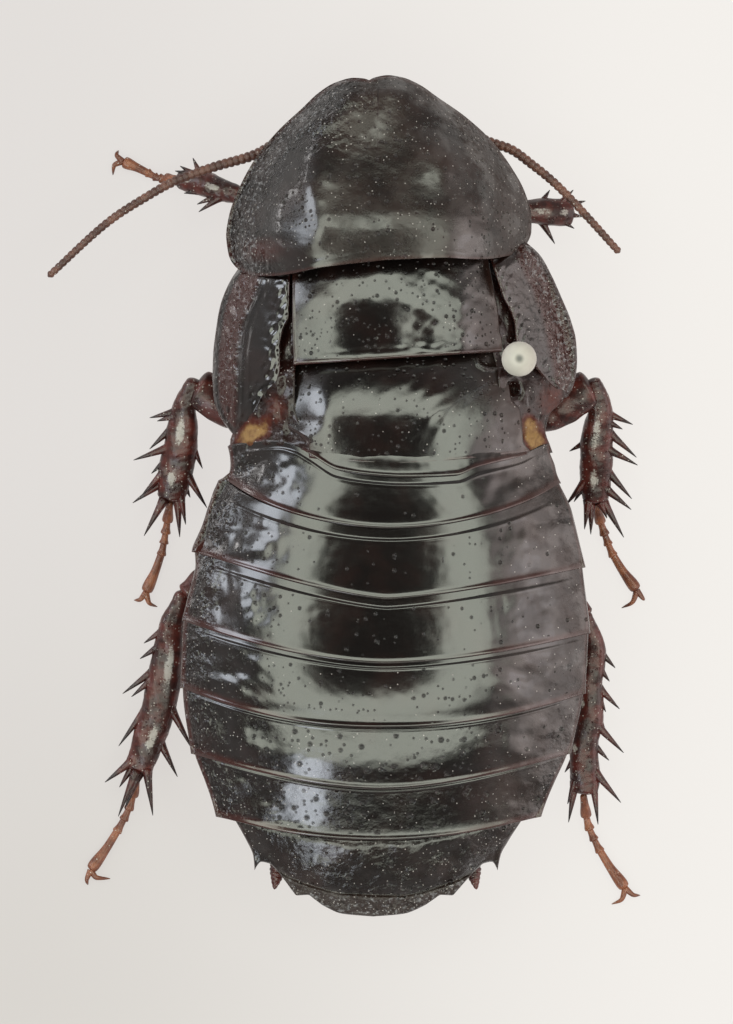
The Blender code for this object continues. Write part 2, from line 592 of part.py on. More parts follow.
def add_pad(name, outer, inner, material, columns=7, rows=13):
    """A fore wing pad: a plate between its outer and inner margin, with one raised ridge."""
    along = np.linspace(0.0, 1.0, rows)
    out = read_route(outer, along)[None, :, :]
    into = read_route(inner, along)[None, :, :]
    across = np.linspace(0.0, 1.0, columns)[:, None, None]
    flat = into + (out - into) * across
    x, y = flat[..., 0], flat[..., 1]
    fade = np.sin(np.pi * np.minimum(1.0, along + 0.12))
    ridge = PAD_RIDGE * np.exp(-((across[..., 0] - 0.6) / 0.16) ** 2) * fade
    top = np.stack([x, y, back_height(x, y) + ridge - 0.05], axis=-1)
    add_slab(name, top, top - np.array([0.0, 0.0, SHELL]), material)


def add_stub(name, outer, inner, material, columns=4, rows=4):
    """The short soft flap behind a wing pad."""
    along = np.linspace(0.0, 1.0, rows)[None, :, None]
    across = np.linspace(0.0, 1.0, columns)[:, None, None]
    out = np.array(outer[0]) * (1 - along) + np.array(outer[1]) * along
    into = np.array(inner[0]) * (1 - along) + np.array(inner[1]) * along
    flat = into + (out - into) * across
    x, y = flat[..., 0], flat[..., 1]
    top = np.stack([x, y, back_height(x, y) - 0.15], axis=-1)
    add_slab(name, top, top - np.array([0.0, 0.0, SHELL]), material)


def head_shape(point):
    """Narrow a unit sphere towards the mouth and flatten the face a little."""
    lower = min(0.0, point.z)
    narrow = 1.0 + 0.42 * lower
    return Vector((point.x * narrow, point.y * (1.0 + 0.15 * lower), point.z))


def add_head(black, eye_black, brown):
    """Head with eyes sunk in sockets, mouthparts below it and a pair of palps."""
    place = Matrix.Translation(Vector(HEAD_CENTRE) * MM) @ Matrix.Rotation(HEAD_TILT, 4, "X")
    head = add_ball("head", HEAD_AXES, black, 20, 12, head_shape, place)
    sockets = []
    for name, sign in (("eye_left", -1), ("eye_right", 1)):
        spot = place @ Matrix.Translation(Vector((sign * EYE_PLACE[0], EYE_PLACE[1], EYE_PLACE[2])) * MM)
        add_ball(name, EYE_AXES, eye_black, 12, 8, None, spot)
        wide = tuple(size + GAP for size in EYE_AXES)
        sockets.append(add_ball(name + "_socket", wide, black, 12, 8, None, spot))
    combine(head, sockets, "DIFFERENCE")
    spot = place @ Matrix.Translation(Vector((0.0, 0.0, MOUTH_PLACE)) * MM)
    add_ball("mouthparts", MOUTH_AXES, brown, 12, 8, None, spot)
    for name, sign in (("palp_left", -1), ("palp_right", 1)):
        joints = ((sign * 1.30, 0.25, -1.95), (sign * 1.75, 0.75, -1.75), (sign * 2.05, 1.15, -2.05),
                  (sign * 2.05, 1.45, -2.55), (sign * 1.95, 1.55, -2.75))
        points = [place @ (Vector(joint) * MM) / MM for joint in joints]
        route = read_route(points, np.linspace(0.0, 1.0, 9))
        thick = read_profile(list(zip(np.linspace(0.0, 1.0, 5), PALP_WIDTHS)), np.linspace(0.0, 1.0, 9))
        add_tube(name, route, thick, thick, brown, sides=7)


def add_feeler(name, route_points, material):
    """A feeler of many beads: a tube whose thickness swells once for each bead."""
    points = np.array(route_points)
    length = float(np.sum(np.linalg.norm(np.diff(points, axis=0), axis=1)))
    beads = int(round(length / BEAD_LENGTH))
    shares = np.linspace(0.0, 1.0, 2 * beads + 1)
    thick = FEELER_ROOT + (FEELER_TIP - FEELER_ROOT) * shares
    thick[::2] *= 0.84
    thick[0] *= 0.7
    thick[-1] *= 0.6
    add_tube(name, read_route(points, shares), thick, thick, material, sides=7)


def make_spine(name, root, tip, material, base=SPINE_BASE, sides=5):
    """A tapering spine with one bend, its root at root and its point at tip."""
    root, tip = np.array(root), np.array(tip)
    bend = root + (tip - root) * 0.55 + np.array([0.0, 0.0, 0.06])
    direction = tip - root
    aside = np.cross(direction, (0.0, 0.0, 1.0))
    aside /= np.linalg.norm(aside)
    over = np.cross(aside, direction / np.linalg.norm(direction))
    turn = 2 * np.pi * np.arange(sides) / sides
    ring = aside[None, :] * np.cos(turn)[:, None] + over[None, :] * np.sin(turn)[:, None]
    vertices = np.concatenate([root + ring * base, bend + ring * base * 0.62, tip[None, :]])
    faces = [tuple(range(sides - 1, -1, -1))]
    for i in range(sides):
        j = (i + 1) % sides
        faces += [(i, j, sides + j), (i, sides + j, sides + i), (sides + i, sides + j, 2 * sides)]
    return add_object(name, vertices, faces, material)


def shin_spines(name, start, end, widths, pattern, outer, draw, material):
    """Spines along a shin, splayed to its outer (+) and inner (-) side, each a little varied."""
    axis = end - start
    flat = np.array([axis[0], axis[1], 0.0])
    flat /= np.linalg.norm(flat)
    across = np.array([-flat[1], flat[0], 0.0]) * outer
    spines = []
    for number, (place, splay, length) in enumerate(pattern):
        share = place + draw.uniform(-0.012, 0.012)
        half = float(read_profile(list(zip((0.0, 0.5, 1.0), widths)), share))
        angle = math.radians(splay + draw.uniform(-4.0, 4.0))
        heading = flat * math.cos(angle) + across * math.sin(angle) + np.array([0.0, 0.0, -0.10])
        surface = start + axis * share + across * half * 0.72 * math.copysign(1.0, splay)
        root = surface - heading * SPINE_SUNK
        tip = surface + heading * length * draw.uniform(0.95, 1.05)
        spines.append(make_spine(f"{name}_{number}", root, tip, material))
    return spines


def add_claws(name, route, tips, material):
    """Two hooked claws at the end of a foot, sunk into it."""
    end = np.array(route[-1])
    claws = []
    for number, (x, y) in enumerate(tips):
        tip = np.array([x, y, 0.10])
        root = end + (np.array(route[-2]) - end) * 0.12
        claws.append(make_spine(f"{name}_{number}", root, tip, material, base=0.17))
    return claws


def add_legs(brown, red, tan):
    """Six legs, each as hip, thigh, shin with its spines, and foot with its claws."""
    draw = random.Random(SEED)
    patterns = {"fore": FORE_SPINES, "mid": MID_SPINES, "hind": HIND_SPINES}
    for leg, sizes in LEGS.items():
        pair = leg.split("_")[0]
        add_limb(f"coxa_{leg}", *sizes["hip"], HIP_WIDTHS, HIP_HEIGHTS, brown)
        add_limb(f"femur_{leg}", *sizes["thigh"], THIGH_WIDTHS[pair], THIGH_HEIGHTS, brown)
        shin_start, shin_end = (np.array(point) for point in sizes["shin"])
        widths = SHIN_WIDTHS[leg]
        tibia = add_limb(f"tibia_{leg}", shin_start, shin_end, widths, SHIN_HEIGHTS, red)
        spines = shin_spines(leg, shin_start, shin_end, widths, patterns[pair], sizes["outer"], draw, red)
        combine(tibia, spines, "UNION")
        route = read_route(sizes["foot"], np.linspace(0.0, 1.0, 12))
        route[:, 2] -= FOOT_SINK
        thick = read_profile(list(zip((0.0, 0.3, 0.6, 1.0), FOOT_WIDTHS)), np.linspace(0.0, 1.0, 12))
        thick[[2, 4, 6]] *= 0.82
        thick[[0, -1]] *= 0.55
        tarsus = add_tube(f"tarsus_{leg}", route, thick, np.minimum(thick, 0.25), tan, sides=8, floor=0.0)
        combine(tarsus, add_claws(leg, sizes["foot"], sizes["claws"], tan), "UNION")


def add_pin(nylon, steel):
    """The pin: a turned round head, the shaft above the back, and the cut shaft below the belly."""
    turns = [math.radians(a) for a in range(90, -80, -20)]
    profile = [(PIN_HEAD_RADIUS * math.cos(a), PIN_HEAD_RADIUS * math.sin(a)) for a in turns]
    profile[0] = (0.0, PIN_HEAD_RADIUS)
    profile.append((0.0, profile[-1][1]))
    mesh = bpy.data.meshes.new("pin_head")
    corners = [(r * MM, 0.0, z * MM) for r, z in profile]
    mesh.from_pydata(corners, [(k, k + 1) for k in range(len(profile) - 1)], [])
    head = link_mesh("pin_head", mesh, nylon)
    head.location = Vector((*PIN_PLACE, PIN_HEAD_HEIGHT)) * MM
    screw = head.modifiers.new("turn", "SCREW")
    screw.steps = 16
    screw.render_steps = 16
    screw.use_merge_vertices = True
    screw.merge_threshold = 0.00001
    lowest = PIN_HEAD_HEIGHT + profile[-1][1]
    back = float(back_height(np.array(PIN_PLACE[0]), np.array(PIN_PLACE[1])))
    over_back, under_belly = PIN_CUTS
    for name, low, high in (("pin_shaft", back + over_back, lowest - GAP), ("pin_point", 0.0, under_belly)):
        work = bmesh.new()
        bmesh.ops.create_cone(work, cap_ends=True, segments=12, radius1=PIN_RADIUS * MM,
                              radius2=PIN_RADIUS * MM, depth=(high - low) * MM)
        mesh = bpy.data.meshes.new(name)
        work.to_mesh(mesh)
        work.free()
        shaft = link_mesh(name, mesh, steel)
        shaft.location = Vector((*PIN_PLACE, (low + high) / 2)) * MM


def centre_on_floor():
    """Group everything and hang it on one empty, with the whole box centred over the origin."""
    group = bpy.data.collections.new("salganea_esakii")
    bpy.context.scene.collection.children.link(group)
    bpy.context.view_layer.update()
    graph = bpy.context.evaluated_depsgraph_get()
    corners = []
    pieces = [thing for thing in bpy.context.scene.objects if thing.type == "MESH"]
    for piece in pieces:
        shown = piece.evaluated_get(graph)
        corners += [piece.matrix_world @ vertex.co for vertex in shown.data.vertices]
    places = np.array([tuple(corner) for corner in corners])
    middle = (places.min(axis=0) + places.max(axis=0)) / 2
    stand = bpy.data.objects.new("specimen", None)
    group.objects.link(stand)
    stand.location = (-middle[0], -middle[1], 0.0)
    for piece in pieces:
        bpy.context.scene.collection.objects.unlink(piece)
        group.objects.link(piece)
        piece.parent = stand
    bpy.context.view_layer.update()


def main():
    """Build the whole specimen."""
    clear_scene()
    black = make_material("black_cuticle", BLACK_BROWN, 0.25)
    red = make_material("red_brown_cuticle", RED_BROWN, 0.35)
    brown = make_material("dark_red_cuticle", DARK_RED, 0.35)
    soft = make_material("soft_orange_cuticle", ORANGE, 0.6)
    tan = make_material("tan_cuticle", TAN, 0.45)
    eye_black = make_material("eye_cuticle", EYE_BLACK, 0.2)
    nylon = make_material("white_nylon", NYLON, 0.4)
    steel = make_material("pin_steel", STEEL, 0.3, 1.0)
    add_abdomen_segments(black)
    add_abdomen_end(black)
    add_cerci(red)
    add_shield(black)
    add_thorax_plates(black)
    add_thorax_underside(brown)
    add_pad("tegmen_left", *LEFT_PAD, black)
    add_pad("tegmen_right", *RIGHT_PAD, black)
    add_stub("wing_stub_left", *LEFT_STUB, soft)
    add_stub("wing_stub_right", *RIGHT_STUB, soft)
    add_head(black, eye_black, brown)
    add_feeler("antenna_left", LEFT_FEELER, brown)
    add_feeler("antenna_right", RIGHT_FEELER, brown)
    add_legs(brown, red, tan)
    add_pin(nylon, steel)
    centre_on_floor()


main()
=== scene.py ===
# Salganea esakii, a wood-feeding cockroach, dried and pinned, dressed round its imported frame.
# Shapes are worked out in millimetres, from the middle of the body's length, head towards +Y.
import math

import bpy
import numpy as np
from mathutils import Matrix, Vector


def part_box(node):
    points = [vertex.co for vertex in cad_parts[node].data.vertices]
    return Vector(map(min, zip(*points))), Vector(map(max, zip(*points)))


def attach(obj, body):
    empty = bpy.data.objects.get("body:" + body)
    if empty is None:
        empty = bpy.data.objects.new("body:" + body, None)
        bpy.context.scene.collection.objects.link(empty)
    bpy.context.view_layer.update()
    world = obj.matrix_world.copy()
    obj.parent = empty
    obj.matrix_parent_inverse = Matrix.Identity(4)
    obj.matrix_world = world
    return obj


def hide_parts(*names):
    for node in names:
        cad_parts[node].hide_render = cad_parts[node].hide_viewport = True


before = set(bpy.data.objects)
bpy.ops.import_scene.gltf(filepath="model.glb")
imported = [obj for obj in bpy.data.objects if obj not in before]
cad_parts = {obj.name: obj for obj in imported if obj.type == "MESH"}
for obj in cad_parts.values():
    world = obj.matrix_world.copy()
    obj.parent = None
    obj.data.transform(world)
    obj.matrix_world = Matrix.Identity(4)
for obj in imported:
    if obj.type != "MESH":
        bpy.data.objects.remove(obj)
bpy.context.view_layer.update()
mm = 0.001

# The pin stands at a known place on the body, which ties these millimetres to the frame.
pin = {"place": (4.61, 4.75), "headHeight": 15.6, "headRadius": 0.605, "shaftRadius": 0.25,
       "shaftTop": 15.0, "spotEdge": 0.36, "spotCore": 0.06}
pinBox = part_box("pin_point")
shift = np.array([(pinBox[0][0] + pinBox[1][0]) / 2 / mm - pin["place"][0],
                  (pinBox[0][1] + pinBox[1][1]) / 2 / mm - pin["place"][1], 0.0])
print("frame loaded, shift in mm", shift.round(3))


# A smooth curve through (place, size) stations with no overshoot: cubic pieces whose slope at a
# station is the harmonic mean of the slopes beside it, and nothing where the curve turns.
def readCurve(stations, where):
    places, sizes = np.array(stations, dtype=float).T
    steps = np.diff(places)
    rises = np.diff(sizes) / steps
    slopes = np.zeros_like(sizes)
    slopes[0], slopes[-1] = rises[0], rises[-1]
    product = rises[1:] * rises[:-1]
    total = np.where(product > 0, rises[1:] + rises[:-1], 1.0)
    slopes[1:-1] = np.where(product > 0, 2.0 * product / total, 0.0)
    where = np.asarray(where, dtype=float)
    cell = np.clip(np.searchsorted(places, where) - 1, 0, len(steps) - 1)
    share = np.clip((where - places[cell]) / steps[cell], 0.0, 1.0)
    rise = share * share * (3 - 2 * share)
    leaving = share * (1 - share) ** 2 * steps[cell] * slopes[cell]
    arriving = share * share * (share - 1) * steps[cell] * slopes[cell + 1]
    return sizes[cell] * (1 - rise) + sizes[cell + 1] * rise + leaving + arriving


# A smooth route through points, read at shares of its length.
def readRoute(points, shares):
    points = np.array(points, dtype=float)
    reach = np.concatenate(([0.0], np.cumsum(np.linalg.norm(np.diff(points, axis=0), axis=1))))
    reach /= reach[-1]
    columns = [readCurve(np.stack([reach, points[:, k]], axis=1), shares) for k in range(points.shape[1])]
    return np.stack(columns, axis=-1)


# A rounded step from 0 to 1 between two limits.
def ease(low, high, value):
    share = np.clip((value - low) / (high - low), 0.0, 1.0)
    return share * share * (3 - 2 * share)


# A round hump of height 1: the exponential of minus the squared distance over the squared reach.
def hump(distance, reach):
    return np.exp(-(distance / reach) ** 2)


# Soft uneven relief from -1 to 1: five crossing waves of seeded direction and phase.
def ripple(x, y, z, size, seed):
    draw = np.random.default_rng(seed)
    total = 0.0
    for k in range(5):
        way = draw.normal(size=3)
        way *= 2 * np.pi / size / np.linalg.norm(way) * draw.uniform(0.7, 1.4)
        total = total + np.sin(x * way[0] + y * way[1] + z * way[2] + draw.uniform(0, 6.28))
    return total / 2.6


class Shape:
    # Closed surfaces, each made of rings between two end points, gathered into one mesh.
    def __init__(self):
        self.points, self.quads, self.triangles, self.values, self.count = [], [], [], [], 0

    # rings is an array (ring, place round it, xyz); marks are numbers that materials read. With no
    # start and end points the first and last ring are closed straight across, top to underside.
    def add(self, rings, start=None, end=None, **marks):
        many, sides = rings.shape[:2]
        points = rings.reshape(-1, 3)
        spot = np.arange(many * sides).reshape(many, sides)
        nearRing, farRing = spot[:-1], spot[1:]
        quads = np.stack([nearRing, np.roll(nearRing, -1, 1), np.roll(farRing, -1, 1), farRing], -1)
        quads = quads.reshape(-1, 4)
        first, last = spot[0], spot[-1]
        if start is None:
            k = np.arange(sides // 2 - 1)
            closings = (np.stack([first[k + 1], first[k], first[-1 - k], first[-2 - k]], -1),
                        np.stack([last[k], last[k + 1], last[-2 - k], last[-1 - k]], -1))
            quads = np.concatenate([quads, *closings])
            triangles = np.zeros((0, 3), dtype=int)
        else:
            points = np.concatenate([points, [start, end]])
            foot = np.full(sides, many * sides)
            triangles = np.concatenate([np.stack([np.roll(first, -1), first, foot], -1),
                                        np.stack([last, np.roll(last, -1), foot + 1], -1)])
        corners = points[np.concatenate([triangles, quads[:, :3], quads[:, [0, 2, 3]]])]
        volume = np.einsum("ij,ij->i", corners[:, 0], np.cross(corners[:, 1], corners[:, 2])).sum()
        if volume < 0:                      # turn the faces outwards
            quads, triangles = quads[:, ::-1], triangles[:, ::-1]
        self.points.append(points)
        self.quads.append(quads + self.count)
        self.triangles.append(triangles + self.count)
        for name, mark in marks.items():
            mark = np.broadcast_to(mark, rings.shape[:2])
            marks[name] = mark.ravel() if start is None else np.append(mark, (mark[0, 0], mark[-1, 0]))
        self.values.append((len(points), marks))
        self.count += len(points)
        return self

    def build(self, name, material, slot, *nodes):
        mesh = bpy.data.meshes.new(name)
        points = (np.concatenate(self.points) + shift) * mm
        quads, triangles = np.concatenate(self.quads), np.concatenate(self.triangles)
        corners = np.concatenate([quads.ravel(), triangles.ravel()])
        starts = np.concatenate([np.arange(len(quads)) * 4, len(quads) * 4 + np.arange(len(triangles)) * 3])
        mesh.vertices.add(len(points))
        mesh.vertices.foreach_set("co", points.ravel())
        mesh.loops.add(len(corners))
        mesh.loops.foreach_set("vertex_index", corners)
        mesh.polygons.add(len(starts))
        mesh.polygons.foreach_set("loop_start", starts)
        mesh.update(calc_edges=True)
        mesh.validate()
        for mark in sorted({mark for _, marks in self.values for mark in marks}):
            layer = mesh.attributes.new(mark, "FLOAT", "POINT")
            numbers = [marks.get(mark, np.zeros(count)) for count, marks in self.values]
            layer.data.foreach_set("value", np.concatenate(numbers).astype(np.float32))
        mesh.shade_smooth()
        mesh.materials.append(material)
        piece = bpy.data.objects.new(name, mesh)
        bpy.context.scene.collection.objects.link(piece)
        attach(piece, "root")
        if nodes:
            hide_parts(*nodes)
        return piece


# Rings of a limb: an ellipse carried along a route, wide across and high upwards; "square" below 1
# makes its section boxy, relief(x, y, z) moves it outwards and no point falls below the floor.
def tubeRings(route, wide, high, sides=16, square=1.0, relief=None, floor=None):
    route = np.array(route, dtype=float)
    tangents = np.gradient(route, axis=0)
    tangents /= np.linalg.norm(tangents, axis=1)[:, None]
    side = np.cross(tangents, (0.0, 0.0, 1.0))
    side /= np.linalg.norm(side, axis=1)[:, None]
    over = np.cross(side, tangents)
    turn = 2 * np.pi * (np.arange(sides) + 0.5) / sides
    flat = np.sign(np.cos(turn)) * np.abs(np.cos(turn)) ** square
    tall = np.sign(np.sin(turn)) * np.abs(np.sin(turn)) ** square
    across = np.broadcast_to(wide, len(route))[:, None] * flat
    above = np.broadcast_to(high, len(route))[:, None] * tall
    rings = route[:, None] + side[:, None] * across[..., None] + over[:, None] * above[..., None]
    if relief is not None:
        out = side[:, None] * np.cos(turn)[:, None] + over[:, None] * np.sin(turn)[:, None]
        rings = rings + out * relief(rings[..., 0], rings[..., 1], rings[..., 2])[..., None]
    if floor is not None:
        rings[..., 2] = np.maximum(rings[..., 2], floor)
    return rings, route[0], route[-1]


# A limb through stations (x, y, z, half width, half height), its ends rounded over a length "cap".
def addLimb(shape, stations, rows=40, sides=20, cap=0.2, marks=None, **shaping):
    share = 0.5 - 0.5 * np.cos(np.linspace(0.06, np.pi - 0.06, rows))
    line = readRoute(stations, share)
    reach = np.linalg.norm(np.diff(line[:, :3], axis=0), axis=1).sum()
    inward = np.clip(1 - np.minimum(share, 1 - share) * reach / cap, 0, 1)
    blunt = np.sqrt(1 - inward ** 2)
    rings, start, end = tubeRings(line[:, :3], line[:, 3] * blunt, line[:, 4] * blunt, sides, **shaping)
    turn = 2 * np.pi * (np.arange(sides) + 0.5) / sides
    shape.add(rings, start, end, **(marks(share[:, None], turn) if marks else {"tip": 0.0}))


# A spine: a tapering cone from root to tip with a slight upward bow; mark "tip" runs 0 to 1.
def addSpine(shape, root, tip, base, bow=0.05, sides=10, rows=12):
    root, tip = np.array(root, dtype=float), np.array(tip, dtype=float)
    share = np.linspace(0.0, 1.0, rows)
    lift = np.array([0.0, 0.0, 1.0]) * bow * np.linalg.norm(tip - root)
    route = root + (tip - root) * share[:, None] + lift * (4 * share * (1 - share))[:, None]
    thick = base * (1 - share) ** 0.9 * (1 + 0.20 * hump(share, 0.15)) + 0.012
    shape.add(*tubeRings(route, thick, thick, sides), tip=share[:, None])


# A ball from pole to pole: its unit form is bent by a function, scaled by axes and put in place.
def addBall(shape, axes, place, bend=None, rows=36, sides=48, **marks):
    polar = np.linspace(0.0, np.pi, rows + 2)[:, None]
    turn = 2 * np.pi * np.arange(sides) / sides
    unit = np.stack([np.sin(polar) * np.cos(turn), np.sin(polar) * np.sin(turn),
                     np.cos(polar) + 0 * turn], -1)
    points = place((bend(unit) if bend else unit) * np.array(axes))
    values = {name: mark(unit[1:-1]) for name, mark in marks.items()}
    shape.add(points[1:-1], points[0, 0], points[-1, 0], **values)


# A closed leaf: a grid of tops over a grid of undersides, both drawn in by a quarter circle within
# "curl" of the edge, from which near is the distance.
def addLeaf(shape, x, y, top, under, near, curl, **marks):
    inward = np.clip(1 - near / curl, 0, 1)
    bend = (1 - np.sqrt(1 - inward ** 2)) * np.minimum(curl, (top - under) * 0.45)
    upper = np.stack([x, y, top - bend], -1)
    lower = np.stack([x, y, under + bend], -1)[:, ::-1]
    rings = np.concatenate([upper, lower], 1)
    both = {name: np.concatenate([mark, mark[:, ::-1]], 1) for name, mark in marks.items()}
    shape.add(rings, **both)


# In a grid of points, the distances from its first row, its last row and its nearer side.
def edgeDistances(x, y):
    down = np.hypot(np.diff(x, axis=0), np.diff(y, axis=0)).cumsum(0)
    down = np.concatenate([np.zeros_like(x[:1]), down])
    across = np.hypot(np.diff(x, axis=1), np.diff(y, axis=1)).cumsum(1)
    across = np.concatenate([np.zeros_like(x[:, :1]), across], 1)
    return down, down[-1:] - down, np.minimum(across, across[:, -1:] - across)


# Shortest distance in plan from points to a line of points.
def nearLine(x, y, line):
    best = np.full(np.shape(x), 1e9)
    for (x0, y0), (x1, y1) in zip(line[:-1], line[1:]):
        along = ((x - x0) * (x1 - x0) + (y - y0) * (y1 - y0)) / ((x1 - x0) ** 2 + (y1 - y0) ** 2)
        along = np.clip(along, 0, 1)
        best = np.minimum(best, np.hypot(x - x0 - along * (x1 - x0), y - y0 - along * (y1 - y0)))
    return best


class Wire:
    # A shader socket that can be added, multiplied and so on; each operator adds a Math node.
    def __init__(self, kit, socket):
        self.kit, self.socket = kit, socket

    def __add__(self, other):
        return self.kit.maths("ADD", self, other)

    def __sub__(self, other):
        return self.kit.maths("SUBTRACT", self, other)

    def __rsub__(self, other):
        return self.kit.maths("SUBTRACT", other, self)

    def __mul__(self, other):
        return self.kit.maths("MULTIPLY", self, other)

    def __truediv__(self, other):
        return self.kit.maths("DIVIDE", self, other)

    def __pow__(self, other):
        return self.kit.maths("POWER", self, other)

    __radd__ = __add__
    __rmul__ = __mul__


class Kit:
    # The nodes of one material or of the world.
    def __init__(self, tree):
        self.tree = tree

    # Any node: its type, its settings first, then the values or links of its sockets.
    def node(self, kind, settings=None, **sockets):
        node = self.tree.nodes.new(kind)
        for name, value in (settings or {}).items():
            setattr(node, name, value)
        for name, value in sockets.items():
            key = int(name[1:]) if name[0] == "n" and name[1:].isdigit() else name.replace("_", " ")
            if isinstance(value, Wire):
                self.tree.links.new(value.socket, node.inputs[key])
            else:
                node.inputs[key].default_value = value
        return node

    def out(self, node, name=0):
        return Wire(self, node.outputs[name])

    def maths(self, operation, *values, clamp=False):
        sockets = {f"n{k}": value for k, value in enumerate(values)}
        settings = {"operation": operation, "use_clamp": clamp}
        return self.out(self.node("ShaderNodeMath", settings, **sockets))

    def mark(self, name):
        return self.out(self.node("ShaderNodeAttribute", {"attribute_name": name}), "Fac")

    def ease(self, value, low, high):
        settings = {"interpolation_type": "SMOOTHSTEP"}
        return self.out(self.node("ShaderNodeMapRange", settings, n0=value, n1=low, n2=high))

    def mix(self, share, first, second):
        node = self.node("ShaderNodeMix", {"data_type": "RGBA"})
        for socket, value in zip((node.inputs[0], node.inputs[6], node.inputs[7]), (share, first, second)):
            if isinstance(value, Wire):
                self.tree.links.new(value.socket, socket)
            else:
                socket.default_value = value if isinstance(value, float) else (*value, 1.0)
        return self.out(node, 2)

    def where(self):
        return self.out(self.node("ShaderNodeTexCoord"), "Object")

    def noise(self, size, detail=3.0, rough=0.55, place=None):
        settings = {"noise_dimensions": "3D"}
        return self.out(self.node("ShaderNodeTexNoise", settings, Vector=place or self.where(),
                                  Scale=1.0 / (size * mm), Detail=detail, Roughness=rough), 0)

    # Round holes of a radius about scattered points a spacing apart; density is the share of the
    # points that have one. The value is 1 in a hole's middle.
    def holes(self, spacing, radius, density):
        settings = {"feature": "F1", "voronoi_dimensions": "3D"}
        scale = 1.0 / (spacing * mm)
        points = self.node("ShaderNodeTexVoronoi", settings, Vector=self.where(), Scale=scale)
        chance = self.out(self.node("ShaderNodeSeparateColor", Color=self.out(points, "Color")), 0)
        form = self.ease(self.out(points, 0), radius / spacing, radius / spacing * 0.35)
        return form * self.ease(density - chance, 0.0, 0.03)

    def bump(self, height, strength, distance, under=None):
        sockets = {"Height": height, "Strength": strength, "Distance": distance * mm}
        if under is not None:
            sockets["Normal"] = under
        return self.out(self.node("ShaderNodeBump", **sockets))


def newMaterial(name, fixed):
    material = bpy.data.materials.new(name)
    material.use_nodes = True
    kit = Kit(material.node_tree)
    shader = material.node_tree.nodes["Principled BSDF"]
    for socket, value in fixed.items():
        shader.inputs[socket].default_value = value
    return material, kit, shader


def link(kit, shader, **sockets):
    for name, value in sockets.items():
        kit.tree.links.new(value.socket, shader.inputs[name.replace("_", " ")])


# Glossy black-brown cuticle: marks are "pits" (how many pits), "edge" (thin red edge), "haze" (grey,
# dull skin), "coarse" (crinkled and flecked) and "warm" (red, then orange soft skin). Sizes are in mm.
cuticle = {
    "black": (0.0032, 0.0021, 0.0019), "brown": (0.0110, 0.0046, 0.0038), "red": (0.032, 0.0068, 0.0050),
    "dust": (0.046, 0.033, 0.029), "dustDark": (0.026, 0.014, 0.0105), "fleck": (0.195, 0.193, 0.205),
    "deepRed": (0.055, 0.0105, 0.0060), "orange": (0.235, 0.135, 0.052), "lint": (0.36, 0.33, 0.32),
    "cloudSize": 1.6, "fleckSize": 0.22, "mottleSize": 0.95, "smearSize": 0.15, "lintSize": 0.13,
    "lintRadius": 0.032, "pitSize": 0.34, "pitRadius": 0.088, "grainSize": 0.19, "grainRadius": 0.052,
    # size and depth of the fine skin, dents, waves and crinkles
    "skin": (0.10, 0.018), "dents": (0.45, 0.030), "waves": (1.3, 0.070), "crinkles": (0.34, 0.20)}


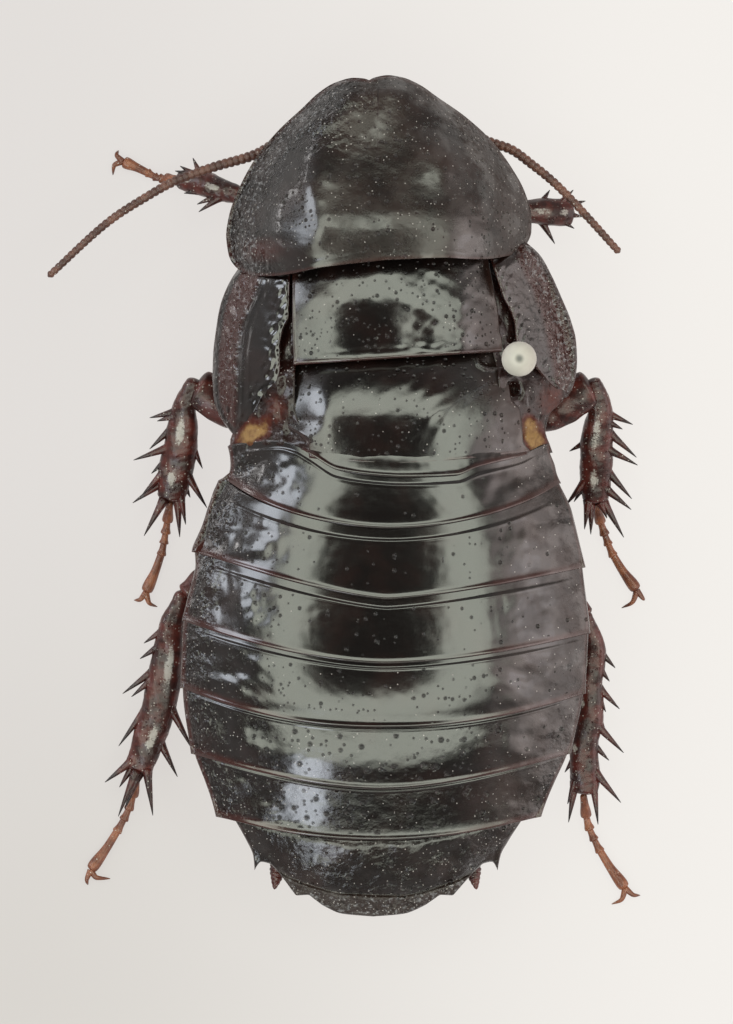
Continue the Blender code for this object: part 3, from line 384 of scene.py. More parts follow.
def shellMaterial(name, look, tint=0.0, shine=0.15, ior=1.5):
    material, kit, shader = newMaterial(name, {"IOR": ior, "Coat IOR": 1.5, "Coat Roughness": 0.09})
    edge, pits, haze, warm, coarse = (kit.mark(mark) for mark in ("edge", "pits", "haze", "warm", "coarse"))
    clouds = kit.noise(look["cloudSize"], 3.0)
    flecks = kit.noise(look["fleckSize"], 2.0)
    colour = kit.mix(kit.ease(clouds, 0.40 - tint, 0.78 - tint), look["black"], look["brown"])
    colour = kit.mix(kit.ease(edge * (0.6 + flecks * 0.8), 0.12, 1.0), colour, look["red"])
    mottle = kit.ease(kit.noise(look["mottleSize"], 2.0), 0.42, 0.60)
    dust = kit.mix(mottle, look["dustDark"], look["dust"])
    colour = kit.mix(kit.ease(haze * (flecks * 0.5 + clouds * 1.3), 0.10, 0.75) * 0.6, colour, dust)
    softness = warm * (0.45 + flecks * 1.1)
    colour = kit.mix(kit.ease(softness, 0.10, 0.45), colour, look["deepRed"])
    colour = kit.mix(kit.ease(softness, 0.42, 1.15), colour, look["orange"])
    smear = kit.ease(kit.noise(look["smearSize"], 2.0) * coarse, 0.53, 0.66)
    colour = kit.mix(smear * 0.55, colour, look["fleck"])
    pitted = kit.holes(look["pitSize"], look["pitRadius"], pits * 0.75 + 0.02)
    grained = kit.holes(look["grainSize"], look["grainRadius"], pits * 0.95 - 0.12)
    hollow = kit.maths("MAXIMUM", pitted, grained * 0.7)
    linted = pits * 0.22 + haze * 0.26 + coarse * 0.36 - 0.05
    lint = kit.holes(look["lintSize"], look["lintRadius"], linted)
    colour = kit.mix(lint * 0.8, colour, look["lint"])
    # relief: pits, then fine skin, small dents, broad waves and the crinkles of the margins
    skinSize, skinDepth = look["skin"]
    dentSize, dentDepth = look["dents"]
    waveSize, waveDepth = look["waves"]
    crinkleSize, crinkleDepth = look["crinkles"]
    grain = kit.noise(skinSize, 4.0, 0.65)
    relief = kit.bump(1.0 - hollow, 1.0, look["pitRadius"] * 0.62)
    relief = kit.bump(grain * (0.08 + haze * 1.1 + pits * 0.35 + warm * 0.6), 0.5, skinDepth, relief)
    relief = kit.bump(kit.noise(dentSize, 2.0, 0.5) * (0.15 + haze + pits * 0.4), 0.5, dentDepth, relief)
    relief = kit.bump(kit.noise(waveSize, 2.0, 0.45), 0.5, waveDepth, relief)
    relief = kit.bump(kit.noise(crinkleSize, 2.0, 0.5) * coarse, 1.0, crinkleDepth, relief)
    rough = shine + haze * (0.05 + clouds * 0.30) + warm * 0.22 + lint * 0.3 + grain * 0.05 + hollow * 0.25
    dull = coarse * 0.55 + haze * (1.30 - mottle * 1.15) + warm * 0.8 + hollow * 0.7
    coat = kit.maths("MAXIMUM", 0.78 - dull, 0.0)
    link(kit, shader, Base_Color=colour, Roughness=rough, Coat_Weight=coat, Normal=relief)
    return material


# Red-brown leg cuticle, uneven, pitted and finely wrinkled; mark "tip" darkens towards a point and the
# pale mark paints ragged pale patches along the top: a painted highlight, partly dust.
limbLook = {
    "dark": (0.0220, 0.0052, 0.0042), "red": (0.078, 0.0150, 0.0110), "tan": (0.108, 0.032, 0.017),
    "orange": (0.240, 0.086, 0.043), "feelerDark": (0.050, 0.018, 0.013),
    "feelerPale": (0.135, 0.056, 0.038), "eyeDark": (0.0030, 0.0028, 0.0030),
    "eyePale": (0.0055, 0.0042, 0.0040), "tip": (0.0075, 0.0040, 0.0034), "lint": (0.40, 0.36, 0.33),
    # pale colour of the painted highlight, partly dust, on the shins' tops
    "pale": (0.40, 0.368, 0.345),
    "cloudSize": 0.55, "fibreSize": 0.06, "fibreDepth": 0.008, "patchSize": 0.32, "lintSize": 0.11,
    "lintRadius": 0.034, "pitSize": 0.16, "pitRadius": 0.050, "waveSize": 0.35, "waveDepth": 0.040}


def limbMaterial(name, low, high, rough=0.26, pitting=0.8, depth=0.025):
    material, kit, shader = newMaterial(name, {"IOR": 1.50})
    look = limbLook
    clouds = kit.noise(look["cloudSize"], 3.0)
    colour = kit.mix(kit.ease(clouds, 0.35, 0.68), low, high)
    colour = kit.mix(kit.ease(kit.mark("tip"), 0.3, 1.0), colour, look["tip"])
    fibre = kit.noise(look["fibreSize"], 3.0)
    # pale patches where the mark says: painted highlight, partly dust
    patches = kit.mark("pale") * (kit.noise(look["patchSize"], 2.0) + fibre * 0.9)
    colour = kit.mix(kit.ease(patches, 0.55, 0.78) * 0.75, colour, look["pale"])
    linted = (kit.ease(clouds, 0.25, 0.75) * 0.45 + 0.18) * pitting
    lint = kit.holes(look["lintSize"], look["lintRadius"], linted)
    colour = kit.mix(lint * 0.8, colour, look["lint"])
    pits = kit.holes(look["pitSize"], look["pitRadius"], kit.ease(clouds, 0.7, 0.3) * pitting)
    relief = kit.bump(1.0 - pits, 1.0, depth)
    relief = kit.bump(fibre, 0.4, look["fibreDepth"], relief)
    relief = kit.bump(kit.noise(look["waveSize"], 2.0), 0.6, look["waveDepth"], relief)
    link(kit, shader, Base_Color=colour, Roughness=rough + fibre * 0.12, Normal=relief)
    return material


# Nylon or steel, faintly clouded; mark "spot" is where the shaft's end shows.
pinLook = {"nylonLow": (0.40, 0.377, 0.34), "nylonHigh": (0.46, 0.435, 0.395),
           "steelLow": (0.42, 0.42, 0.43), "steelHigh": (0.60, 0.60, 0.61), "shaftEnd": (0.12, 0.12, 0.11)}


def plainMaterial(name, low, high, rough, size, metallic=0.0, bump=0.008):
    material, kit, shader = newMaterial(name, {"IOR": 1.5, "Metallic": metallic})
    clouds = kit.noise(size, 3.0)
    relief = kit.bump(kit.noise(size * 0.4, 3.0), 0.5, bump)
    colour = kit.mix(kit.ease(clouds, 0.35, 0.7), low, high)
    colour = kit.mix(kit.mark("spot"), colour, pinLook["shaftEnd"])
    link(kit, shader, Base_Color=colour, Roughness=rough + clouds * 0.12, Normal=relief)
    return material


shellBlack = shellMaterial("shellBlack", cuticle)
rearLook = {**cuticle, "pitSize": 0.48, "pitRadius": 0.13, "grainSize": 0.25, "grainRadius": 0.070}
shellRear = shellMaterial("shellRear", rearLook)
shellSoft = shellMaterial("shellSoft", cuticle, 0.14, 0.20, 1.30)
shellBrown = shellMaterial("shellBrown", cuticle, 0.14, 0.22)
limbDark = limbMaterial("limbDark", limbLook["dark"], limbLook["red"])
limbTan = limbMaterial("limbTan", limbLook["tan"], limbLook["orange"], 0.30, 0.5, 0.010)
feelerBrown = limbMaterial("feelerBrown", limbLook["feelerDark"], limbLook["feelerPale"], 0.36, 0.3, 0.008)
eyeGloss = limbMaterial("eyeGloss", limbLook["eyeDark"], limbLook["eyePale"], 0.16, 0.9, 0.006)
nylon = plainMaterial("nylon", pinLook["nylonLow"], pinLook["nylonHigh"], 0.42, 0.6, bump=0.004)
steel = plainMaterial("pinSteel", pinLook["steelLow"], pinLook["steelHigh"], 0.22, 0.15, 1.0, bump=0.002)
print("materials made")

# The body's plan: midline and half width, crest, rim and belly against y.
plan = {
    "midline": ((-15.0, -0.43), (-13.0, -0.30), (-4.7, 0.02), (1.1, 0.28), (5.0, 0.20), (8.0, 0.10)),
    "half": ((-11.5, 5.56), (-10.9, 5.87), (-10.1, 6.26), (-9.1, 6.68), (-7.0, 7.12), (-5.0, 7.22),
             (-2.8, 6.92), (-0.5, 6.40), (1.1, 5.75), (4.0, 6.45), (8.0, 5.60)),
    "crest": ((-15.0, 4.43), (-13.9, 4.83), (-12.2, 5.44), (-10.4, 6.10), (-9.2, 6.486), (-8.2, 6.75),
              (-7.25, 6.985), (-6.6, 7.09), (-6.0, 7.15), (-5.0, 7.18), (0.0, 7.18), (3.0, 7.12),
              (8.0, 7.10)),
    "leftExtra": ((-12.0, 0.0), (-2.6, 0.0), (-1.7, 0.20), (-1.0, 0.16), (-0.3, 0.20), (0.3, 0.32),
                  (0.6, 0.34), (1.2, 0.05), (3.0, 0.0)),
    "rim": ((-15.0, 4.15), (-12.3, 4.35), (-6.0, 4.50), (1.0, 4.70), (4.5, 4.45), (8.0, 4.60)),
    "belly": ((-12.3, 3.30), (-10.0, 2.95), (-6.0, 2.75), (0.0, 2.85), (2.0, 3.00), (11.0, 3.10)),
    "backPower": 2.3, "bellyPower": 3.0, "shell": 0.6}


def shareAcross(x, y):
    return np.clip((x - readCurve(plan["midline"], y)) / readCurve(plan["half"], y), -1.0, 1.0)


# The back's vault: rim plus (crest - rim) times one less the side share to a power.
def backHeight(x, y):
    rim = readCurve(plan["rim"], y)
    return rim + (readCurve(plan["crest"], y) - rim) * (1 - np.abs(shareAcross(x, y)) ** plan["backPower"])


def bellyHeight(x, y):
    belly = readCurve(plan["belly"], y)
    side = np.abs(shareAcross(x, y)) ** plan["bellyPower"]
    return belly + (readCurve(plan["rim"], y) - plan["shell"] - belly) * side


# A margin across the body: from its y at the middle to that at each side, bending by a power.
def margin(line, side):
    middle, left, right, power = line
    return middle + (np.where(side < 0, left, right) - middle) * np.abs(side) ** power


# Shares from -1 to 1, closer together towards the sides.
def crosswise(many):
    even = np.linspace(-1.0, 1.0, many)
    return even * 0.45 + np.sin(even * np.pi / 2) * 0.55


# Abdomen: one ring a segment. "rears" are hind margins, "band" the smooth strip along the front,
# "flare" how far the hind corners stand out, "pillow" how far the middle swells, and "frontCorner"
# how much ring 2 is cut in at its right front corner.
abdomen = {
    "rears": ((0.47, 2.47, 2.47, 2.0), (-1.10, 0.60, 0.50, 1.9), (-3.61, -1.95, -2.50, 1.35),
              (-5.88, -4.40, -4.85, 1.7), (-8.15, -6.80, -7.00, 2.2), (-10.36, -9.15, -9.15, 1.8),
              (-12.19, -11.40, -11.40, 2.0)),
    "firstFront": 1.75, "firstSides": (-0.55, 0.82),
    "secondFront": ((-1.0, 1.80), (-0.85, 1.94), (-0.70, 2.0), (-0.60, 1.86), (-0.52, 1.58), (-0.34, 0.97),
                    (-0.1, 0.76), (0.06, 0.71), (0.39, 0.79), (0.52, 1.07), (0.79, 1.46), (0.9, 1.74),
                    (1.0, 1.90)),
    "band": (0.0, 0.30, 0.46, 0.36, 0.22, 0.12, 0.10),
    "flare": (0.0, 0.05, 0.14, 0.06, 0.10, 0.10, 0.22),
    "pits": (0.1, 0.15, 0.20, 0.30, 0.50, 0.95, 1.2),
    "pillow": (0.015, 0.015, 0.015, 0.015, 0.015, 0.040, -0.010), "frontCorner": 0.34,
    "across": 181, "below": 61, "along": 52, "slant": 0.5, "step": 0.05}
edgeFolds = np.array([(0.03, -0.05), (0.05, -0.13), (0.02, -0.22), (-0.12, -0.28), (-0.26, -0.30),
                      (-0.30, -0.40)])


# One ring: the top runs across the back from left to right, folds under at the rim, and the belly
# runs back; each station along it is shrunk towards the section's middle by a depth.
def addRing(number):
    rear = abdomen["rears"][number - 1]
    left, right = abdomen["firstSides"] if number == 1 else (-1.0, 1.0)
    top, below = crosswise(abdomen["across"]), crosswise(abdomen["below"])[::-1]
    folds = len(edgeFolds)
    side = np.concatenate([top, np.ones(folds), below, -np.ones(folds)])
    side = left + (right - left) * (side + 1) / 2
    # kinds of place round a station: 0 back, 1 belly, 2 and 3 the folds at the right and left rim
    kind = np.concatenate([np.zeros(len(top)), np.full(folds, 2), np.ones(len(below)), np.full(folds, 3)])
    if number == 1:
        front = abdomen["firstFront"] + 0 * side
    elif number == 2:
        front = readCurve(abdomen["secondFront"], side)
    else:
        front = margin(abdomen["rears"][number - 2], side)
    behind = readCurve(abdomen["secondFront"], side) if number == 1 else margin(rear, side)
    length = np.maximum(front - behind, 0.05)
    share = np.linspace(0.0, 1.0, abdomen["along"])
    share = share * 0.6 + ease(0.0, 1.0, share) * 0.4
    # stations: hidden front, the open top, and the hind lip that curls under
    along = np.concatenate([[-0.55, -0.45, -0.25, -0.08], share, [1.0, 1.0, 1.0, 1.0, 1.0]])
    beyond = np.concatenate([np.zeros(4 + len(share)), [-0.02, -0.015, 0.03, 0.20, 0.50]])
    depth = np.concatenate([[1.0, 0.62, 0.34, 0.22], np.zeros(len(share)), [0.03, 0.075, 0.11, 0.20, 0.60]])
    along, beyond, depth = along[:, None], beyond[:, None], depth[:, None]
    reach = np.where(along < 0, 1.0, length)            # hidden stations are in plain millimetres
    y = front - along * reach + beyond
    distance = np.clip(along, 0, 1) * length            # millimetres behind the front margin
    toRear = np.clip(1 - along, 0, 1) * length
    flare = abdomen["flare"][number - 1] * np.abs(side) ** 8 * (np.clip(along, 0, 1) ** 3 - 0.3)
    half = readCurve(plan["half"], y)
    x = readCurve(plan["midline"], y) + side * (half + flare)
    x = x - readCurve(plan["leftExtra"], y) * np.clip(-side, 0, 1) ** 3 * (number > 2)
    x = x - abdomen["frontCorner"] * ease(1.0, 1.9, y) * np.clip(side, 0, 1) ** 8 * (number == 2)
    band = abdomen["band"][number - 1]
    middle = 1 - np.abs(side) ** 6
    pillow = abdomen["pillow"][number - 1] * np.sin(np.pi * np.clip(along, 0, 1))
    pillow = pillow - 0.004 * hump(toRear - 0.34, 0.14)
    lip = 0.030 * hump(toRear - 0.03, 0.09)
    ridge = 0.020 * hump(distance - band, 0.05) - 0.030 * ease(band + 0.03, band - 0.06, distance)
    rise = (abdomen["step"] * (2 * np.clip(along, 0, 1) - 1) + pillow + ridge * (band > 0)) * middle + lip
    lateral = ease(0.45, 0.75, np.abs(side))
    inner = np.sin(np.pi * np.clip(along, 0, 1))
    wrinkles = ripple(x, y * 1.4, 0.0, 1.3, 30 + number) * 0.036 * lateral * inner
    wrinkles = wrinkles + ripple(x, y, 0.0, 0.45, 40 + number) * 0.006 * (0.25 + lateral) * inner
    upper = backHeight(x, y) + rise + wrinkles
    slant = abdomen["slant"] * (1 - side ** 4)
    lower = bellyHeight(x, y) - 0.06 * (2 * np.clip(along, 0, 1) - 1) * middle
    rimHeight = backHeight(x, y) + rise
    z = np.where(kind == 0, upper, np.where(kind == 1, lower, rimHeight))
    y = np.where(kind == 1, y + slant, y)
    for code, sign in ((2, 1), (3, -1)):
        spot = np.where(kind == code)[0]
        steps = edgeFolds if sign > 0 else edgeFolds[::-1]
        x[:, spot] += sign * steps[:, 0]
        z[:, spot] += steps[:, 1]
    # shrink towards the section's middle
    centreX = readCurve(plan["midline"], y)
    centreZ = (readCurve(plan["crest"], y) + readCurve(plan["belly"], y)) / 2 - 0.3
    high = np.maximum(np.abs(z - centreZ), 0.3)
    wide = np.maximum(np.abs(x - centreX), 0.3)
    away = np.sqrt(high ** 2 + (wide * 0.35) ** 2)
    x = centreX + (x - centreX) * (1 - depth * 0.5 / 6.0)
    z = z - depth * (z - centreZ) / away
    onTop = kind != 1
    pits = abdomen["pits"][number - 1] + (0.75 - 0.50 * (side > 0)) * ease(0.35, 0.85, np.abs(side))
    pits = pits * (1 - 0.65 * lateral * (side > 0))
    pits = pits * ease(band + 0.02, band + 0.15, distance) * ease(0.10, 0.32, toRear) * onTop
    redSide = 0.35 + 0.65 * ease(0.25, 0.75, np.abs(side))
    edge = hump(toRear, 0.22) * redSide + 0.8 * ease(0.975, 1.0, np.abs(side)) * onTop
    edge = edge + 0.25 * ease(0.55, 0.95, -side) * onTop
    edge = edge + 0.55 * (kind == 1) * hump(toRear, 0.35)
    haze = 0.10 * lateral * (side < 0) + 0.85 * lateral * (side > 0)
    coarse = 0.70 * ease(0.80, 0.97, -side) + 0.30 * ease(0.75, 0.98, side) + 0.05 * (number > 5)
    rings = np.stack([x, y, z], -1)
    coarse = np.clip(coarse, 0, 1) * onTop * ease(0.02, 0.15, toRear)
    shape = Shape().add(rings, rings[0].mean(0), rings[-1].mean(0), pits=pits, edge=np.clip(edge, 0, 1),
                        haze=haze * onTop * 0.5, coarse=coarse)
    material = shellRear if number > 5 else shellBlack
    shape.build(f"segment{number}", material, "black_cuticle", f"abdomen_{number}")


for number in range(1, 8):
    addRing(number)
print("abdomen rings made")

# A leaf over a grid of shares: rows run from its front margin to its rear one, columns from side to
# side; height(x, y, side, distance, toRear) is its top and look(...) gives its marks.
def gridLeaf(name, nodes, x, y, side, height, look, thick=0.35, curl=0.06, material=shellBlack,
             slot="black_cuticle"):
    distance, toRear, toSide = edgeDistances(x, y)
    near = np.minimum(np.minimum(distance, toRear), toSide)
    top = height(x, y, side, distance, toRear)
    shape = Shape()
    addLeaf(shape, x, y, top, top - thick, near, curl, **look(x, y, side, distance, toRear, toSide))
    return shape.build(name, material, slot, *nodes)


# Pronotum: a hooded shield, in its own x and y, turned a little in plan.
shield = {
    "centre": (-0.26, 10.96), "turn": math.radians(4.5),
    "outline": ((0.0, -2.60), (2.0, -2.67), (3.6, -2.82), (4.55, -2.72), (5.1, -2.38), (5.34, -1.90),
                (5.38, -1.30), (5.22, -0.50), (4.82, 0.40), (4.15, 1.45), (3.30, 2.35), (2.40, 3.08),
                (1.75, 3.60), (1.15, 3.90), (0.62, 4.00), (0.18, 3.94), (0.0, 3.86)),
    "crest": ((-2.8, 7.86), (-2.3, 7.895), (-1.9, 7.90), (-1.6, 7.888), (-1.37, 7.86), (-1.0, 7.78),
              (-0.65, 7.66), (0.0, 7.42), (0.6, 7.20), (1.6, 6.83), (2.2, 6.61), (2.9, 6.36), (3.4, 6.15),
              (4.1, 5.50)),
    "rim": ((-2.8, 4.75), (-1.3, 4.45), (1.5, 4.60), (3.0, 5.00), (4.1, 5.35)),
    "rearWidth": ((-2.9, 4.9), (-2.4, 5.12), (-1.9, 5.34), (-1.3, 5.38)),
    "power": 3.0, "around": 360, "rings": 96, "thick": 0.55,
    # place across and along, reach across and along, lift
    "bosses": ((-2.15, 0.90, 0.80, 1.30, 0.25), (2.35, 0.75, 0.75, 0.80, 0.25),
               (-0.85, 3.30, 0.60, 0.45, 0.08), (0.85, 3.30, 0.60, 0.45, 0.08),
               (0.0, 0.5, 0.60, 1.0, -0.06), (-4.3, -0.6, 0.45, 2.2, -0.12),
               (4.3, -0.6, 0.45, 2.2, -0.12), (-3.1, 1.9, 0.35, 0.8, -0.10), (3.1, 1.9, 0.35, 0.8, -0.10),
               (-2.0, 2.60, 0.90, 0.50, 0.20), (1.7, 2.25, 0.7, 0.30, -0.07)),
    # a shallow dish: its place, its reaches, its bends across and along
    "dish": (-3.00, -1.0, 1.05, 1.50, 0.13, 0.07),
    # a dull spot in front: its place, its reach and how much less it slopes
    "patch": (-0.28, 2.15, 0.85, 0.15),
    "leftScale": 1.025}


def shieldToBody(x, y):
    c, s = math.cos(shield["turn"]), math.sin(shield["turn"])
    return shield["centre"][0] + x * c - y * s, shield["centre"][1] + x * s + y * c


def shieldShare(x, y):
    outline = np.array(shield["outline"])
    widest = int(np.argmax(outline[:, 0]))
    frontWidth = readCurve(outline[widest:][:, ::-1], y)
    rearWidth = readCurve(shield["rearWidth"], y)
    width = np.where(y > outline[widest, 1], np.maximum(frontWidth, 0.9), rearWidth)
    return np.clip(np.abs(x) / width, 0.0, 1.0)


def shieldHeight(x, y):
    share = shieldShare(x, y)
    rim = readCurve(shield["rim"], y)
    height = rim + (readCurve(shield["crest"], y) - rim) * (1 - share ** shield["power"])
    for across, along, wide, long, lift in shield["bosses"]:
        spot = ((x - across) / wide) ** 2 + ((y - along) / long) ** 2
        height = height + lift * np.exp(-spot) * (1 - share ** 8)
    across, along, wide, long, bend, slope = shield["dish"]
    near = np.exp(-(((x - across) / wide) ** 2 + ((y - along) / long) ** 2) ** 2)
    height = height + (bend * (x - across) ** 2 + slope * (y - along) ** 2) * near
    across, along, reach, less = shield["patch"]
    return height + less * (y - along) * hump(np.hypot(x - across, y - along), reach)


def addShield():
    many, around = shield["rings"], shield["around"]
    half = readRoute(shield["outline"], np.linspace(0.0, 1.0, around // 2 + 1))
    loop = np.concatenate([half, half[-2:0:-1] * np.array([-shield["leftScale"], 1.0])])
    middle = np.array([0.0, 0.6])
    share = np.sin(np.linspace(0.0, np.pi / 2, many + 1))[1:] ** 0.9
    share = np.concatenate([share[:-1], [0.994, 1.0]])
    curl = [(0.0, 1.0), (0.06, 1.002), (0.15, 1.0), (0.24, 0.994), (0.30, 0.98)]
    rings, edges = [], []
    toEdge = np.linalg.norm(loop - middle, axis=1)
    for ring in share:
        flat = middle + (loop - middle) * ring
        inside = (1 - ring) * toEdge
        z = shieldHeight(flat[:, 0], flat[:, 1])
        z = z + 0.020 * hump(inside, 0.16) - 0.008 * hump(inside - 0.30, 0.12)
        side = shieldShare(flat[:, 0], flat[:, 1])
        patch = hump(np.hypot(flat[:, 0] - shield["patch"][0], flat[:, 1] - shield["patch"][1]), 1.1)
        rough = 0.25 + ease(0.5, 0.8, side) + ease(-0.2, 1.6, flat[:, 1]) * (0.35 - patch * 0.35)
        waves = ripple(flat[:, 0], flat[:, 1], 0.0, 1.2, 5) * 0.014
        waves = waves + ripple(flat[:, 0], flat[:, 1], 0.0, 0.45, 6) * 0.007
        z = z + waves * rough
        x, y = shieldToBody(flat[:, 0], flat[:, 1])
        rings.append(np.stack([x, y, z], -1))
        edges.append(inside)
    for drop, ring in curl[1:]:
        flat = middle + (loop - middle) * ring
        x, y = shieldToBody(flat[:, 0], flat[:, 1])
        rings.append(np.stack([x, y, rings[len(share) - 1][:, 2] - drop], -1))
        edges.append(np.zeros(len(loop)))
    for ring in (0.95, 0.9, 0.8, 0.65, 0.5, 0.35, 0.2, 0.08):
        flat = middle + (loop - middle) * ring
        x, y = shieldToBody(flat[:, 0], flat[:, 1])
        z = shieldHeight(flat[:, 0], flat[:, 1])
        z = z - shield["thick"] * ease(1.0, 0.9, ring) - 0.30 * ease(0.9, 1.0, ring)
        rings.append(np.stack([x, y, z], -1))
        edges.append(np.full(len(loop), 3.0))
    rings = np.stack(rings)
    inside = np.stack(edges)
    x, y = shieldToBody(*middle)
    peak = float(shieldHeight(np.array(middle[0]), np.array(middle[1])))
    # marks read in the shield's own frame
    ownX = rings[..., 0] - shield["centre"][0]
    ownY = rings[..., 1] - shield["centre"][1]
    side = shieldShare(ownX, ownY)
    front = ease(0.6, 2.4, ownY)
    pits = 0.45 + 0.55 * np.maximum(ease(0.55, 0.8, side), front)
    edge = 0.8 * hump(inside, 0.16) + 0.9 * hump(ownX + 4.1, 0.9) * hump(ownY + 2.2, 0.5)
    left = ownX < 0
    patch = hump(np.hypot(ownX - shield["patch"][0], ownY - shield["patch"][1]), shield["patch"][2])
    haze = 0.50 + 0.35 * ease(0.70, 0.92, side) * ~left - 0.28 * ease(0.2, 0.6, side) * left + 0.5 * patch
    coarse = (0.30 + 0.70 * left) * ease(0.66, 0.84, side) + front * (0.15 + 0.75 * left) * (1 - patch)
    dish = shield["dish"]
    pits = np.maximum(pits, 1.2 * np.exp(-((ownX - dish[0]) / 0.9) ** 4 - ((ownY - dish[1]) / 1.4) ** 4))
    shape = Shape().add(rings, (x, y, peak), (x, y, peak - shield["thick"]), pits=pits,
                        edge=np.clip(edge, 0, 1), haze=np.clip(haze, 0, 1), coarse=np.clip(coarse, 0, 1))
    shape.build("shield", shellBlack, "black_cuticle", "pronotum")


addShield()
print("pronotum made")

# Thorax: two plates between the wing pads; margins and edges as the solids have them.
thorax = {
    "mesoFront": (8.85, 8.30, 8.90, 1.5), "mesoRear": (4.90, 4.48, 5.32, 1.0),
    "mesoEdges": (((4.4, -3.24), (6.4, -3.30), (8.2, -3.30)),
                  ((4.8, 4.16), (5.6, 4.16), (5.9, 4.07), (6.4, 4.04), (7.1, 3.93), (7.7, 3.82),
                   (8.4, 3.68))),
    "metaFront": (5.05, 4.60, 5.45, 1.0), "metaRear": (1.16, 1.80, 1.72, 1.6),
    "metaEdges": (((1.0, -2.66), (1.60, -2.72), (2.0, -2.84), (2.42, -3.40), (2.72, -3.76), (3.2, -3.72),
                   (4.8, -3.55)),
                  ((1.0, 5.26), (1.62, 5.16), (1.95, 4.93), (3.1, 4.80), (3.45, 4.50), (4.0, 4.40),
                   (5.2, 4.20))),
    "mesoFall": ((4.0, 0.0), (6.5, 0.0), (6.8, -0.006), (7.0, -0.022), (7.2, -0.052), (7.6, -0.126),
                 (8.14, -0.253), (9.0, -0.51)),
    "metaFall": ((1.0, 0.0), (2.4, 0.0), (2.8, -0.014), (3.0, -0.035), (3.4, -0.105), (3.86, -0.225),
                 (4.6, -0.51), (5.2, -0.80)),
    "chip": ((3.25, 4.98), (3.33, 4.72), (3.56, 4.58), (3.90, 4.58), (4.20, 4.62)), "hole": (4.58, 3.84)}


def addBackPlate(name, part, height):
    across = crosswise(161)[None, :]
    along = np.linspace(0.0, 1.0, 70)[:, None]
    left, right = thorax[f"{part}Edges"]
    front, rear = thorax[f"{part}Front"], thorax[f"{part}Rear"]

    def sideAt(y):
        return readCurve(left, y) * (0.5 - across / 2) + readCurve(right, y) * (0.5 + across / 2)

    def marginAt(line):
        near = (line[0] + line[1]) / 2 + 0 * across
        return margin(line, shareAcross(sideAt(near), near))

    y = marginAt(front) + (marginAt(rear) - marginAt(front)) * along
    gridLeaf(name, [f"{part}notum"], sideAt(y), y, across + 0 * y, height, backMarks, 0.55)


# Both plates fall away to the front; the middle one also to the right, the hind one to the left.
def mesoHeight(x, y, side, distance, toRear):
    z = backHeight(x, y) + readCurve(thorax["mesoFall"], y)
    z = z - 0.105 * ease(0.1, 1.4, x) - 0.30 * ease(2.6, 4.2, x)
    z = z + 0.03 * hump(toRear - 0.03, 0.07) - 0.02 * hump(toRear - 0.3, 0.15)
    z = z + 0.03 * hump(1 - np.abs(side), 0.015)
    rough = 0.25 + ease(0.2, 1.6, x)
    return z + ripple(x, y, 0.0, 1.5, 8) * 0.013 + ripple(x, y, 0.0, 0.5, 18) * 0.007 * rough


def metaHeight(x, y, side, distance, toRear):
    z = backHeight(x, y) + readCurve(thorax["metaFall"], y)
    z = z - 0.30 * ease(-1.9, -3.6, x) * ease(2.0, 2.8, y) + 0.03 * hump(toRear - 0.02, 0.07)
    z = z + 0.14 * hump(nearLine(x, y, thorax["chip"]), 0.07)
    z = z - 0.10 * hump(np.hypot(x - 3.85, y - 4.80), 0.22)
    z = z - 0.06 * hump(nearLine(x, y, ((-3.75, 2.68), (-2.80, 2.0))), 0.08)
    rough = 0.20 + hump(x - 1.9, 1.2)
    return z + ripple(x, y, 0.0, 1.8, 12) * 0.014 + ripple(x, y, 0.0, 0.5, 19) * 0.006 * rough


def backMarks(x, y, side, distance, toRear, toSide):
    near = np.minimum(toRear, toSide)
    pits = (0.62 + 0.3 * ease(0.5, 0.9, np.abs(side))) * ease(0.05, 0.25, near)
    edge = np.clip(0.8 * hump(toRear, 0.16) + 0.5 * hump(toSide, 0.3), 0, 1)
    haze = 0.25 * ease(0.65, 0.95, np.abs(side)) + 0.3 * ease(0.3, 0.7, side)
    return {"pits": pits, "edge": edge, "haze": haze}


addBackPlate("backPlateMiddle", "meso", mesoHeight)
addBackPlate("backPlateHind", "meta", metaHeight)

# Wing pads: outer and inner margins from front to tip, and the raised vein along each.
pads = {
    "Left": {"outer": ((-5.20, 8.22), (-5.61, 7.54), (-5.89, 6.79), (-6.04, 5.93), (-6.14, 5.04),
                       (-6.16, 4.18), (-6.12, 3.52), (-5.94, 2.96), (-5.64, 2.50), (-5.40, 2.20)),
             "inner": ((-3.36, 8.22), (-3.38, 7.20), (-3.40, 6.40), (-3.60, 5.95), (-3.71, 5.36),
                       (-3.71, 4.68), (-3.80, 4.15), (-4.25, 3.66), (-4.71, 2.86), (-5.36, 2.18)),
             "vein": ((-4.25, 8.1), (-4.46, 7.18), (-4.71, 6.68), (-4.96, 5.93), (-5.07, 5.18),
                      (-5.11, 4.43), (-5.11, 3.43), (-5.15, 2.60))},
    "Right": {"outer": ((5.02, 9.10), (5.57, 8.57), (5.93, 7.93), (6.32, 7.07), (6.64, 6.29), (6.82, 5.57),
                        (6.86, 4.86), (6.82, 4.36), (6.70, 3.90), (6.52, 3.56)),
              "inner": ((3.72, 8.52), (3.95, 7.80), (4.21, 7.04), (4.46, 6.57), (4.60, 6.10), (4.64, 5.57),
                        (5.02, 5.02), (5.57, 4.32), (6.10, 3.80), (6.46, 3.54)),
              "vein": ((4.60, 8.5), (4.86, 7.93), (5.14, 7.29), (5.50, 6.40), (5.66, 5.60), (5.90, 4.60))}}


